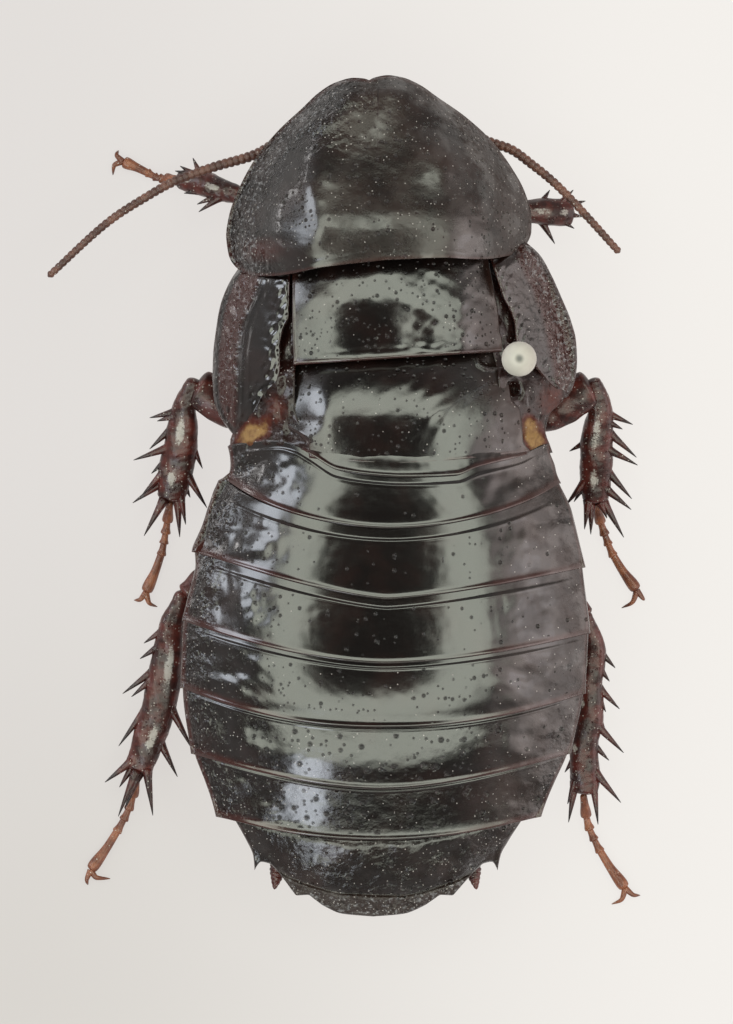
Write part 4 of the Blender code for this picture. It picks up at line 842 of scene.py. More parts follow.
def addPad(name, pad):
    along = np.linspace(0.0, 1.0, 120)
    across = crosswise(81)[None, :] * 0.5 + 0.5
    sign = -1.0 if name == "Left" else 1.0
    outer, inner = readRoute(pad["outer"], along)[:, None], readRoute(pad["inner"], along)[:, None]
    flat = inner + (outer - inner) * across[..., None]
    x, y = flat[..., 0], flat[..., 1]
    strong = 1.0 if name == "Left" else 0.45

    def height(x, y, side, distance, toRear):
        toVein = nearLine(x, y, pad["vein"])
        field = ease(0.0, 0.6, sign * (x - readCurve(sorted((v, u) for u, v in pad["vein"]), y)))
        z = backHeight(x, y) - 0.06 - 0.45 * hump(distance, 0.30) + 0.05 * (y - 5.5)
        z = z + strong * (0.016 * hump(toVein, 0.06) + 0.008 * hump(toVein - 0.24, 0.06))
        z = z - 0.05 * field - 0.10 * hump(1 - across, 0.06) + 0.02 * hump(1 - across - 0.05, 0.03)
        toInner = np.hypot(x - x[:, :1], y - y[:, :1])
        z = z + ripple(x, y, 0.0, 0.30, 23) * 0.016 * hump(toInner - 0.25, 0.35)
        z = z + 0.02 * hump(across - 0.05, 0.05) - 0.10 * np.clip(1 - toInner / 0.45, 0, 1) ** 2
        z = z + ripple(x, y * 0.35, 0.0, 1.0, 21) * 0.010
        return z + ripple(x, y * 0.6, 0.0, 0.4, 22) * 0.010 * (0.4 + field)

    def look(x, y, side, distance, toRear, toSide):
        field = ease(-0.05, 0.35, sign * (x - readCurve(sorted((v, u) for u, v in pad["vein"]), y)))
        edge = 0.85 * field * ease(0.10, 0.30, toSide) + 0.5 * hump(toSide, 0.12) + 0.25 * (sign > 0)
        pits = 0.30 + 0.70 * field * ease(0.12, 0.25, toSide)
        return {"pits": pits, "edge": np.clip(edge, 0, 1), "haze": 0.10 * field + 0.22 * (sign > 0) + 0 * x,
                "coarse": 0.65 * field + 0.35 * (sign > 0)}

    gridLeaf(f"wingPad{name}", [f"tegmen_{name.lower()}"], x, y, across + 0 * x, height, look, 0.40, 0.08)


for name, pad in pads.items():
    addPad(name, pad)
print("back plates and wing pads made")

# Soft and punctured skin beside the hind plate, below the pads: outer and inner margins, the orange
# patch as (x, y, reach along, reach aside, turn), the red one as (x, y, reach), and how far below the
# back it lies.
flanks = {
    "Left": {"outer": ((-4.60, 8.5), (-5.20, 6.0), (-5.60, 4.2), (-5.70, 3.2), (-5.55, 2.6), (-5.38, 2.16),
                       (-5.48, 1.85), (-5.56, 1.60)),
             "inner": ((-2.60, 8.5), (-2.90, 6.0), (-3.20, 4.2), (-3.20, 3.6), (-3.10, 2.8), (-2.60, 2.1),
                       (-2.50, 1.55)),
             "orange": (-4.70, 2.27, 0.66, 0.36, 0.64), "red": (-3.85, 3.10, 0.45), "drop": 0.24},
    "Right": {"outer": ((4.60, 8.9), (5.60, 6.6), (6.20, 5.2), (6.45, 4.2), (6.40, 3.55), (5.84, 2.90),
                        (5.72, 2.30), (5.86, 1.90), (5.98, 1.58)),
              "inner": ((2.90, 8.9), (3.30, 6.6), (3.80, 5.2), (4.00, 4.2), (4.05, 3.0), (4.55, 2.05),
                        (4.90, 1.45)),
              "orange": (5.30, 2.12, 0.74, 0.37, -1.155), "red": (5.95, 3.45, 0.55), "drop": 0.22}}


def addFlank(name, flank):
    along = np.linspace(0.0, 1.0, 90)
    across = np.linspace(0.0, 1.0, 90)[None, :]
    outer, inner = readRoute(flank["outer"], along)[:, None], readRoute(flank["inner"], along)[:, None]
    flat = inner + (outer - inner) * across[..., None]

    def height(x, y, side, distance, toRear):
        z = backHeight(x, y) - flank["drop"] * ease(1.75, 2.4, y) - 0.35 * ease(4.2, 5.0, y)
        z = z - 0.4 * ease(7.0, 8.5, y) - 0.15 * hump(toRear, 0.3)
        z = z + 0.06 * hump(np.hypot(x - flank["orange"][0], y - flank["orange"][1]), 0.35)
        if name == "Right":
            z = z - 0.50 * hump(np.hypot((x - thorax["hole"][0]) * 1.3, y - thorax["hole"][1]), 0.22)
            z = z + 0.12 * hump(np.hypot(x - 5.05, y - 3.65), 0.45)
        return z + ripple(x, y, 0.0, 0.7, 41) * 0.035

    def look(x, y, side, distance, toRear, toSide):
        spotX, spotY, long, wide, turn = flank["orange"]
        along = (x - spotX) * math.cos(turn) + (y - spotY) * math.sin(turn)
        aside = (y - spotY) * math.cos(turn) - (x - spotX) * math.sin(turn)
        orange = hump(np.hypot(along / long, aside / wide) + ripple(x, y, 0.0, 0.6, 43) * 0.16, 1.0)
        red = hump(np.hypot(x - flank["red"][0], (y - flank["red"][1]) * 0.7), flank["red"][2])
        hole = hump(np.hypot(x - thorax["hole"][0], y - thorax["hole"][1]), 0.45)
        skin = (0.05 + red * 0.34) * (1 - hole)
        return {"warm": np.clip(np.maximum(orange * 1.30, skin), 0, 1), "pits": 0.6 * (1 - orange),
                "edge": 0.35 + 0 * x, "haze": 0 * x, "coarse": 0.5 + 0 * x}

    x, y = flat[..., 0], flat[..., 1]
    gridLeaf(f"flankSkin{name}", [f"wing_stub_{name.lower()}"], x, y, across + 0 * x, height, look, 0.35,
             0.08, shellSoft, "soft_cuticle")


for name, flank in flanks.items():
    addFlank(name, flank)

# The plate over the abdomen's end with its coarse rim, the one under it, and the two short tails.
tail = {"half": ((-13.4, 4.33), (-12.8, 4.42), (-12.3, 4.66), (-11.4, 5.20)),
        "rear": ((0.00, -14.98), (0.25, -14.88), (0.41, -14.60), (0.49, -14.36), (0.55, -14.20),
                 (0.64, -14.22), (0.68, -14.05), (0.73, -13.78), (0.82, -13.32), (0.88, -13.08),
                 (0.94, -13.03), (0.985, -13.22), (1.00, -13.34)),
        "rimLine": ((-0.95, -13.20), (-0.81, -13.36), (-0.68, -13.64), (-0.22, -14.16), (0.20, -14.22),
                    (0.66, -13.70), (0.80, -13.40), (0.95, -13.20)),
        "sink": 0.30, "cercus": (3.40, 3.62, -12.85, -14.05),
        "cercusHalf": ((0, 0.24), (0.2, 0.32), (0.4, 0.31), (0.7, 0.20), (0.92, 0.09), (1.0, 0.03))}


def addTail():
    across = crosswise(221)[None, :]
    along = np.linspace(0.0, 1.0, 90)[:, None]
    front = margin((-11.95, -11.20, -11.20, 2.0), across)
    y = front + (readCurve(tail["rear"], np.abs(across)) - front) * along
    x = readCurve(plan["midline"], y) + across * readCurve(tail["half"], y)

    def height(x, y, side, distance, toRear):
        rim = readCurve(plan["rim"], y)
        z = rim + (readCurve(plan["crest"], y) - rim) * (1 - np.abs(side) ** plan["backPower"])
        z = z - tail["sink"] * along ** 3 - 0.22 * hump(distance, 0.30)
        toLine = y - readCurve(tail["rimLine"], side)
        inRim = ease(0.10, -0.10, toLine)
        z = z - 0.06 * hump(toLine, 0.08) + 0.05 * inRim
        z = z + 0.04 * hump(toRear, 0.1) + 0.05 * hump(np.hypot(x + 1.25, y + 12.75), 0.7)
        return z + ripple(x, y, 0.0, 1.1, 61) * 0.016 + ripple(x, y, 0.0, 0.35, 64) * 0.010 * (0.4 + inRim)

    def look(x, y, side, distance, toRear, toSide):
        inRim = ease(0.06, -0.08, y - readCurve(tail["rimLine"], side))
        pits = np.clip(0.65 + 0.35 * ease(2.6, 0.9, toRear), 0, 1)
        return {"pits": pits, "haze": 1.1 * inRim + 0.35, "edge": 0.1 * inRim + 0.5 * hump(toSide, 0.12),
                "coarse": 0.28 + 0.70 * inRim}

    gridLeaf("endPlate", ["supra_anal_plate"], x, y, across + 0 * y, height, look, 0.5, 0.10, shellRear)

    inner = crosswise(101)[None, :] * 0.66
    y = margin((-12.02, -11.25, -11.25, 2.0), inner) * (1 - along) + (-14.35 + 0.9 * inner ** 2) * along
    x = readCurve(plan["midline"], y) + inner * readCurve(tail["half"], y)
    rim = readCurve(plan["rim"], y)
    top = rim + (readCurve(plan["crest"], y) - rim) * (1 - np.abs(inner) ** plan["backPower"])
    top = top - tail["sink"] * along ** 3 - 0.85
    distance, toRear, toSide = edgeDistances(x, y)
    under = np.minimum(readCurve(plan["belly"], y) + 0.35 * along + 0.9 * inner ** 2, top - 0.4)
    under = under + ripple(x, y, 0.0, 1.2, 62) * 0.02
    shape = Shape()
    addLeaf(shape, x, y, top, under, np.minimum(np.minimum(distance, toRear), toSide), 0.25,
            pits=0.7 + 0 * x, edge=0.7 * hump(toRear, 0.25), haze=0.2 + 0 * x)
    shape.build("underPlate", shellBlack, "black_cuticle", "subgenital_plate")

    startOut, endOut, startY, endY = tail["cercus"]
    middle = float(readCurve(plan["midline"], -13.7))
    share = np.linspace(0.0, 1.0, 73)
    for name, sign in (("Left", -1), ("Right", 1)):
        width = readCurve(tail["cercusHalf"], share)
        width = width * (1 - 0.10 * np.abs(np.cos(share * np.pi * 8)) ** 3)
        stations = np.stack([middle + sign * (startOut + (endOut - startOut) * share),
                             startY + (endY - startY) * share, 3.05 + 0.2 * share, width, width * 0.8], -1)
        shape = Shape()
        addLimb(shape, stations, 73, 24, 0.06)
        shape.build(f"cercus{name}", limbDark, "red_brown_cuticle", f"cercus_{name.lower()}")


addTail()
print("flanks and abdomen's end made")

# Undersides of the thorax: rear and front y, half width at the middle, how the ceiling runs.
chests = {"chestHind": ("metathorax", 2.15, 4.45, 4.9), "chestMiddle": ("mesothorax", 4.80, 7.98, 4.95),
          "chestFront": ("prothorax", 8.34, 11.0, 2.9)}


def addChest(name, node, rear, front, half):
    across = crosswise(101)[None, :]
    along = np.linspace(0.0, 1.0, 60)[:, None]
    y = front + (rear - front) * along - 0.25 * (1 - across ** 2) * (1 - along) * (name != "chestFront")
    x = across * half * (1 - 0.10 * (2 * along - 1) ** 4)
    x = x - 0.1 if name == "chestFront" else x + readCurve(plan["midline"], y)
    side = np.abs(across) + 0 * y
    top = backHeight(x, y) - 1.10
    if name == "chestFront":
        top = 6.45 - 1.6 * side ** 3 - 0.12 * (y - 9.0)
    # a keel along the middle with a groove on each side, and sloping side plates
    under = readCurve(plan["belly"], y) + 0.6 * side ** 3 - 0.05 * hump(across, 0.05)
    under = under + 0.10 * hump(side - 0.14, 0.05) + 0.10 * hump(side - 0.62, 0.04)
    under = under + 0.08 * hump(along - 0.72, 0.06) + ripple(x, y, 0.0, 1.1, 51) * 0.02
    distance, toRear, toSide = edgeDistances(x, y)
    shape = Shape()
    addLeaf(shape, x, y, top, under, np.minimum(np.minimum(distance, toRear), toSide), 0.45,
            pits=0.35 + 0.4 * side, edge=0.35 + 0 * side, haze=0.3 + 0 * side)
    shape.build(name, shellBrown, "dark_red_cuticle", node)


for name, chest in chests.items():
    addChest(name, *chest)

# Head, in its own frame: z up its face, y forwards, then leant back about X.
head = {"centre": (-0.34, 13.10, 3.55), "axes": (2.05, 1.15, 2.00), "lean": math.radians(-30.0),
        "eye": (1.78, 0.12, 0.56), "eyeAxes": (0.46, 0.66, 0.82), "mouth": (0.0, 0.0, -2.84),
        "palp": ((1.15, 0.20, -1.85), (1.75, 0.75, -1.75), (2.05, 1.15, -2.05),
                 (2.05, 1.45, -2.55), (1.95, 1.55, -2.80)),
        "palpHalf": ((0.24, 0.22), (0.20, 0.26), (0.22, 0.28), (0.24, 0.30)),
        # mouthparts: place and axes of each ball; the lower feelers' joints
        "mouthBalls": (((0.0, 0.16, 0.22), (0.62, 0.34, 0.42)), ((0.38, -0.02, 0.0), (0.46, 0.38, 0.40)),
                       ((-0.38, -0.02, 0.0), (0.46, 0.38, 0.40)), ((0.0, -0.34, 0.05), (0.60, 0.22, 0.38))),
        "lowerPalp": (((0.42, -0.40, -2.72), (0.72, -0.30, -3.02)),
                      ((0.72, -0.30, -3.02), (0.98, 0.02, -3.05)))}


def headToBody(points):
    c, s = math.cos(head["lean"]), math.sin(head["lean"])
    x, y, z = points[..., 0], points[..., 1], points[..., 2]
    return np.stack([x, y * c - z * s, y * s + z * c], -1) + np.array(head["centre"])


# The face narrows to the mouth; a groove crosses it and each feeler has a ring-shaped socket.
def faceForm(unit):
    x, y, z = unit[..., 0], unit[..., 1], unit[..., 2]
    lower = np.minimum(0.0, z)
    socket = np.hypot(np.abs(x) - 0.48, z - 0.02)
    relief = 0.05 * hump(socket - 0.17, 0.05) - 0.06 * hump(socket, 0.12) - 0.04 * hump(z + 0.52, 0.04)
    out = 1 + (y > 0) * relief + 0.012 * ripple(x, y, z, 0.8, 71)
    return np.stack([x * (1 + 0.42 * lower) * out, y * (1 + 0.15 * lower) * out, z * out], -1)


def addHead():
    shape = Shape()
    addBall(shape, head["axes"], headToBody, faceForm, 90, 120,
            pits=lambda unit: 0.35 + 0 * unit[..., 0],
            edge=lambda unit: 0.8 * hump(unit[..., 2] + 0.75, 0.25),
            haze=lambda unit: 0.1 + 0 * unit[..., 0])
    shape.build("headCapsule", shellBlack, "black_cuticle", "head")
    mouth = Shape()
    for place, axes in head["mouthBalls"]:
        spot = np.array(head["mouth"]) + place
        addBall(mouth, axes, lambda points, spot=spot: headToBody(points + spot), None, 30, 40)
    for sign in (-1, 1):
        for start, end in head["lowerPalp"]:
            joint = headToBody(np.array([start, end]) * (sign, 1, 1))
            addLimb(mouth, np.column_stack([joint, (0.09, 0.12), (0.09, 0.12)]), 16, 12, 0.10)
    mouth.build("mouth", limbDark, "red_brown_cuticle", "mouthparts")
    for name, sign in (("Left", -1), ("Right", 1)):
        eye = Shape()
        spot = np.array(head["eye"]) * (sign, 1, 1)
        addBall(eye, head["eyeAxes"], lambda points, spot=spot: headToBody(points + spot), None, 40, 56)
        eye.build(f"eye{name}", eyeGloss, "eye_surface", f"eye_{name.lower()}")
        palp = Shape()
        joints = headToBody(np.array(head["palp"]) * (sign, 1, 1))
        for start, end, (thin, thick) in zip(joints[:-1], joints[1:], head["palpHalf"]):
            swell = start * 0.4 + end * 0.6
            stations = [(*start, thin, thin), (*swell, thick, thick), (*end, thin, thin)]
            addLimb(palp, stations, 24, 18, 0.16)
        palp.build(f"palp{name}", limbDark, "red_brown_cuticle", f"palp_{name.lower()}")
    neck = Shape()
    share = np.linspace(0.0, 1.0, 40)
    folds = 1 + 0.05 * np.sin(share * 30)
    stations = np.stack([-0.28 - 0.04 * share, 11.45 + 0.40 * share, 4.36 - 0.1 * share,
                         (1.1 - 0.2 * share) * folds, (0.7 - 0.1 * share) * folds], -1)
    addLimb(neck, stations, 40, 40, 0.15)
    neck.build("neckSkin", limbTan, "soft_cuticle", "neck")


addHead()

# Feelers: a stout first joint, then many short beads, thinning outwards.
feelers = {
    "Left": ((-1.75, 14.35, 2.95), (-2.75, 13.65, 2.85), (-3.70, 12.85, 2.95), (-4.64, 12.27, 3.00),
             (-6.10, 11.83, 2.98), (-7.55, 11.30, 2.95), (-8.70, 10.66, 2.90), (-9.82, 9.93, 2.85),
             (-12.08, 7.90, 2.60)),
    "Right": ((1.05, 14.40, 2.95), (2.15, 13.75, 2.80), (2.95, 13.10, 2.85), (3.70, 12.74, 2.90),
              (4.50, 12.46, 2.90), (5.25, 11.93, 2.90), (6.05, 11.28, 2.88), (6.79, 10.54, 2.85),
              (8.42, 8.76, 2.60)),
    "root": 0.225, "tip": 0.135, "bead": 0.21, "ringsInBead": 7}


def addFeeler(name):
    points = np.array(feelers[name])
    reach = np.linalg.norm(np.diff(points, axis=0), axis=1).sum()
    beads = round(reach / feelers["bead"])
    share = np.linspace(0.0, 1.0, beads * feelers["ringsInBead"] + 1)
    inBead = (share * beads) % 1.0
    radius = feelers["root"] + (feelers["tip"] - feelers["root"]) * share ** 0.8
    radius = radius * (0.78 + 0.24 * np.sin(np.pi * inBead ** 0.8) ** 0.7)
    radius = radius * (1 + 0.35 * ease(0.055, 0.03, share)) * np.sqrt(1 - ease(0.99, 1.0, share) * 0.9)
    shape = Shape()
    rings = tubeRings(readRoute(points, share), radius, radius * 0.94, 16)
    shape.add(*rings, tip=0.35 * hump(inBead - 0.5, 0.5)[:, None])
    shape.build(f"feeler{name}", feelerBrown, "feeler_cuticle", f"antenna_{name.lower()}")


addFeeler("Left")
addFeeler("Right")
print("head and feelers made")

# Legs: hip and thigh run from start to end; "shin" is (x, y, half width) stations falling from the
# first height to the second, "strip" puts its pale strip of painted highlight (partly dust) across it and
# "patches" along it, as (share, reach); "foot" goes on from the shin's end, and each spine is its root's
# place and its tip's place.
legs = {
    "ForeLeft": {
        "hip": ((-2.35, 11.25, 2.42), (-1.75, 9.75, 2.40)),
        "thigh": ((-2.02, 9.36, 1.32), (-4.90, 10.64, 2.14)),
        "strip": 0.0, "half": 0.78, "heights": (2.11, 1.10),
        "shin": ((-5.10, 10.78, 0.30), (-5.80, 11.02, 0.40), (-6.40, 11.22, 0.46), (-6.95, 11.36, 0.40),
                 (-7.48, 11.47, 0.30)),
        "foot": ((-8.10, 11.50, 0.42), (-8.73, 11.80, 0.28), (-9.46, 12.12, 0.26)),
        "claws": ((-9.62, 12.52), (-9.82, 11.64)),
        "spines": ((-6.53, 11.86, -6.91, 12.21), (-6.81, 11.65, -7.55, 11.74), (-6.75, 11.82, -7.37, 11.92),
                   (-6.63, 10.96, -7.22, 10.93), (-6.07, 10.68, -6.75, 10.53),
                   (-5.95, 10.62, -6.69, 10.25))},
    "ForeRight": {
        "hip": ((1.85, 11.25, 2.42), (1.45, 9.75, 2.40)),
        "thigh": ((1.75, 9.42, 1.36), (4.40, 10.24, 2.13)),
        "strip": 0.0, "half": 0.78, "heights": (2.12, 1.35),
        "shin": ((4.60, 10.26, 0.32), (5.25, 10.26, 0.42), (5.80, 10.25, 0.50), (6.30, 10.24, 0.50),
                 (6.78, 10.24, 0.43)),
        "foot": ((6.12, 10.23, 0.34), (5.62, 10.26, 0.28), (4.91, 10.32, 0.26)),
        "claws": ((4.50, 10.64), (4.48, 10.02)),
        "spines": ((5.59, 9.99, 6.11, 9.11), (6.26, 10.00, 6.81, 9.66), (5.61, 10.66, 5.93, 11.04),
                   (6.30, 10.61, 6.78, 11.05), (6.64, 10.51, 7.22, 10.66), (6.57, 10.17, 7.12, 10.09))},
    "MidLeft": {
        "hip": ((-3.60, 6.30, 2.42), (-1.75, 4.60, 2.40)),
        "thigh": ((-1.92, 4.28, 1.42), (-5.20, 3.20, 2.05), (-6.80, 4.00, 2.30)),
        "strip": -0.1, "half": 0.80, "heights": (2.26, 1.05),
        "shin": ((-6.76, 4.24, 0.28), (-6.97, 3.80, 0.34), (-7.22, 3.15, 0.45), (-7.27, 2.50, 0.55),
                 (-7.34, 1.90, 0.61), (-7.44, 1.30, 0.64), (-7.58, 0.68, 0.60), (-7.73, -0.14, 0.45)),
        "foot": ((-7.88, -1.10, 0.42), (-8.06, -2.05, 0.28), (-8.62, -3.44, 0.26)),
        "claws": ((-9.05, -3.72), (-8.22, -3.96)),
        "spines": ((-7.68, 3.08, -8.45, 2.85), (-7.68, 2.92, -8.18, 2.73), (-7.75, 2.54, -8.46, 1.73),
                   (-7.89, 1.82, -9.04, 1.33), (-8.04, 1.44, -8.40, 0.85), (-7.94, 0.96, -8.75, 0.06),
                   (-8.01, 0.58, -9.08, -0.21), (-7.94, -0.08, -8.67, -1.39), (-6.73, 1.92, -6.56, 1.03),
                   (-6.89, 0.82, -6.40, -0.39), (-6.99, 0.49, -7.01, -0.01), (-7.23, 0.11, -7.17, -0.99),
                   (-7.46, -0.08, -7.39, -1.44))},
    "MidRight": {
        "hip": ((3.95, 6.30, 2.42), (2.10, 4.05, 2.38)),
        "thigh": ((2.35, 3.24, 1.38), (5.60, 3.10, 2.05), (7.44, 4.00, 2.30)),
        "strip": -0.1, "half": 0.78, "heights": (2.26, 1.05),
        "shin": ((7.42, 4.26, 0.28), (7.61, 3.78, 0.34), (7.74, 3.14, 0.42), (7.68, 2.50, 0.54),
                 (7.60, 1.68, 0.60), (7.60, 0.96, 0.58), (7.58, 0.40, 0.54), (7.57, -0.21, 0.45)),
        "foot": ((7.84, -1.06, 0.42), (8.24, -2.10, 0.28), (9.10, -3.36, 0.26)),
        "claws": ((8.56, -4.00), (9.38, -3.72)),
        "spines": ((8.20, 2.99, 8.91, 2.61), (8.22, 2.66, 8.54, 2.44), (8.12, 2.36, 9.05, 1.43),
                   (8.16, 1.73, 9.09, 1.15), (8.12, 1.00, 8.89, -0.06), (8.20, 0.32, 8.87, -0.45),
                   (8.00, -0.17, 8.61, -1.45), (7.92, -0.41, 8.00, -0.76), (7.03, 2.02, 6.64, 1.65),
                   (7.11, 0.64, 6.50, -0.31), (7.09, 0.56, 6.81, -0.17), (7.23, -0.17, 7.19, -1.16),
                   (7.43, -0.25, 7.42, -1.34))},
    "HindLeft": {
        "hip": ((-3.20, 2.45, 2.36), (-1.45, 1.05, 2.24)),
        "thigh": ((-1.62, 0.76, 1.38), (-7.05, -3.80, 2.27)),
        "strip": 0.15, "half": 0.80, "heights": (2.25, 1.05),
        "shin": ((-7.22, -3.38, 0.22), (-7.36, -3.74, 0.31), (-7.66, -4.75, 0.47), (-7.82, -5.80, 0.58),
                 (-7.98, -6.86, 0.62), (-8.23, -7.89, 0.61), (-8.57, -8.90, 0.58), (-8.90, -9.90, 0.48)),
        "foot": ((-9.16, -11.03, 0.42), (-9.79, -12.28, 0.28), (-10.62, -13.46, 0.26)),
        "claws": ((-10.72, -14.00), (-9.92, -13.78)),
        "spines": ((-8.06, -4.77, -8.66, -5.25), (-8.17, -5.32, -8.80, -5.81), (-8.43, -6.16, -9.43, -7.07),
                   (-8.38, -6.47, -9.11, -7.18), (-8.64, -7.47, -9.58, -8.96),
                   (-9.22, -9.46, -10.08, -10.27), (-9.27, -9.77, -9.56, -10.45),
                   (-9.01, -9.98, -9.60, -11.50), (-8.85, -10.19, -9.37, -11.24),
                   (-7.49, -7.57, -6.88, -9.15), (-7.85, -8.83, -7.47, -10.07),
                   (-8.50, -9.88, -8.48, -10.93), (-8.40, -9.93, -8.36, -11.47))},
    "HindRight": {
        "hip": ((3.60, 2.45, 2.36), (1.95, 1.05, 2.24)),
        "thigh": ((2.12, 0.76, 1.38), (7.05, -4.60, 2.27)),
        "strip": -0.6, "half": 0.80, "heights": (2.25, 1.05),
        # pale painted highlights on this shin's top, at these shares
        "patches": ((0.28, 0.10), (0.50, 0.035), (0.745, 0.045)),
        "shin": ((7.14, -4.10, 0.22), (7.28, -4.60, 0.31), (7.50, -5.45, 0.42), (7.48, -5.90, 0.43),
                 (7.40, -6.64, 0.42), (7.41, -7.42, 0.46), (7.33, -8.10, 0.52), (7.17, -8.88, 0.51),
                 (7.18, -9.46, 0.53), (7.19, -10.25, 0.55), (7.15, -10.70, 0.46)),
        "foot": ((7.30, -11.66, 0.42), (7.76, -12.76, 0.28), (8.68, -14.12, 0.26)),
        "claws": ((9.22, -14.38), (8.20, -14.70)),
        "spines": ((7.78, -5.58, 8.28, -6.14), (7.71, -6.14, 8.07, -6.62), (7.66, -6.82, 8.44, -7.62),
                   (7.64, -7.08, 7.94, -7.72), (7.55, -7.59, 8.01, -8.72), (7.58, -8.15, 8.59, -9.20),
                   (7.58, -8.88, 8.07, -9.48), (7.66, -9.82, 8.50, -11.00), (6.68, -9.31, 6.48, -9.91),
                   (6.72, -10.16, 6.58, -11.05), (6.85, -10.25, 6.62, -11.72),
                   (7.49, -10.16, 7.68, -11.79))}}
limbForm = {"hipWide": ((0.0, 0.62), (0.5, 0.82), (1.0, 0.42)),
            "hipHigh": ((0.0, 0.34), (0.5, 0.42), (1.0, 0.36)),
            "thighWide": ((0.0, 0.55), (0.15, 0.82), (0.5, 1.0), (0.88, 0.96), (1.0, 0.82)),
            "thighHigh": ((0.0, 0.36), (0.5, 0.48), (1.0, 0.40)),
            "shinHigh": ((0.0, 0.26), (0.15, 0.36), (0.6, 0.42), (1.0, 0.34)),
            "joints": (0.0, 0.26, 0.39, 0.49, 0.61, 1.0), "footHalf": (0.185, 0.170, 0.160, 0.162, 0.200),
            # the patches, their half width and the weight after them place the pale painted highlight,
            # partly dust
            "spineBase": 0.148, "patches": ((0.42, 0.22), (0.80, 0.10)), "patchHalf": 0.34, "dustAndHighlightWeight": 0.9,
            "rootShare": 0.60}


def addLeg(name, leg):
    node = name.replace("Left", "_left").replace("Right", "_right").lower()
    share = np.linspace(0.0, 1.0, 25)[:, None]

    hip = Shape()
    start, end = np.array(leg["hip"])
    stations = np.hstack([start + (end - start) * share, readCurve(limbForm["hipWide"], share),
                          readCurve(limbForm["hipHigh"], share)])
    addLimb(hip, stations, 60, 40, 0.30, relief=lambda x, y, z: 0.03 * ripple(x, y, z, 0.9, 81))
    hip.build(f"hip{name}", limbDark, "red_brown_cuticle", f"coxa_{node}")

    thigh = Shape()
    stations = np.hstack([readRoute(leg["thigh"], share[:, 0]),
                          readCurve(limbForm["thighWide"], share) * leg["half"],
                          readCurve(limbForm["thighHigh"], share)])
    addLimb(thigh, stations, 90, 40, 0.20, relief=lambda x, y, z: 0.018 * ripple(x, y, z, 0.8, 82))
    thigh.build(f"thigh{name}", limbDark, "red_brown_cuticle", f"femur_{node}")

    shin = Shape()
    line = np.array(leg["shin"])
    reach = np.concatenate([[0.0], np.linalg.norm(np.diff(line[:, :2], axis=0), axis=1).cumsum()])
    reach /= reach[-1]
    high, low = leg["heights"]
    stations = np.column_stack([line[:, :2], high + (low - high) * reach, line[:, 2],
                                readCurve(limbForm["shinHigh"], reach)])

    # painted highlight, partly dust: pale where the strip along the top crosses one of the patches
    def dustAndHighlightMarks(share, turn):
        strip = hump(np.cos(turn) + leg["strip"], limbForm["patchHalf"]) * (np.sin(turn) > 0)
        patches = leg.get("patches", limbForm["patches"])
        dustAndHighlightWeight = sum(hump(share - spot, reach) for spot, reach in patches)
        return {"pale": strip * dustAndHighlightWeight * limbForm["dustAndHighlightWeight"]}

    addLimb(shin, stations, 110, 44, 0.18, square=0.85, marks=dustAndHighlightMarks,
            relief=lambda x, y, z: 0.022 * ripple(x, y, z, 0.9, 83) + 0.008 * ripple(x, y, z, 0.3, 84))
    inner = readRoute(stations, np.linspace(0.04, 0.95, 60))
    for k, spine in enumerate(leg["spines"]):
        root, tip = np.array(spine[:2]), np.array(spine[2:])
        spot = inner[np.argmin(np.linalg.norm(inner[:, :2] - root, axis=1))]
        aside = root - spot[:2]                # a root outside the shin is drawn in
        far = max(np.linalg.norm(aside), 1e-6)
        root = spot[:2] + aside * min(1.0, limbForm["rootShare"] * spot[3] / far)
        length = np.linalg.norm(tip - root)
        z = spot[2] + (0.10 if k % 2 else -0.06)
        base = limbForm["spineBase"] * (0.75 + 0.3 * min(length, 1.3))
        addSpine(shin, (*root, z), (*tip, max(z - 0.12 * length, 0.2)), base)
    shin.build(f"shin{name}", limbDark, "dark_red_cuticle", f"tibia_{node}")

    foot = Shape()
    bounds = limbForm["joints"]
    route = [(*line[-1, :2], low - 0.05), *leg["foot"]]
    for k, (first, last) in enumerate(zip(bounds[:-1], bounds[1:])):
        half = limbForm["footHalf"][k]
        step = last - first
        places = np.array([first - 0.045 * (k > 0), first + step * 0.4, first + step * 0.85, last])
        spots = readRoute(route, np.clip(places, 0, 1))
        wide = np.array([0.66, 0.80, 1.10, 0.92]) * half
        addLimb(foot, np.column_stack([spots, wide, wide * 0.9]), 26, 20, 0.09, floor=0.0)
    foot.build(f"foot{name}", limbTan, "tan_cuticle", f"tarsus_{node}")

    claws = Shape()
    root = np.array(leg["foot"][-1])
    before = np.array(leg["foot"][-2])
    ahead = (root - before) / np.linalg.norm(root - before)
    for tip in leg["claws"]:
        tip = np.array((*tip, 0.06))
        elbow = root + ahead * 0.16 + (tip - root) * 0.45 + (0.0, 0.0, 0.10)
        line = readRoute([root, elbow, tip], np.linspace(0.0, 1.0, 16))
        thick = readCurve(((0.0, 0.12), (0.3, 0.10), (0.8, 0.05), (1.0, 0.014)), np.linspace(0.0, 1.0, 16))
        claws.add(*tubeRings(line, thick, thick, 12, floor=0.0), tip=np.linspace(0.0, 0.6, 16)[:, None])
    claws.build(f"claws{name}", limbTan, "tan_cuticle")


for name, leg in legs.items():
    addLeg(name, leg)
print("legs made")


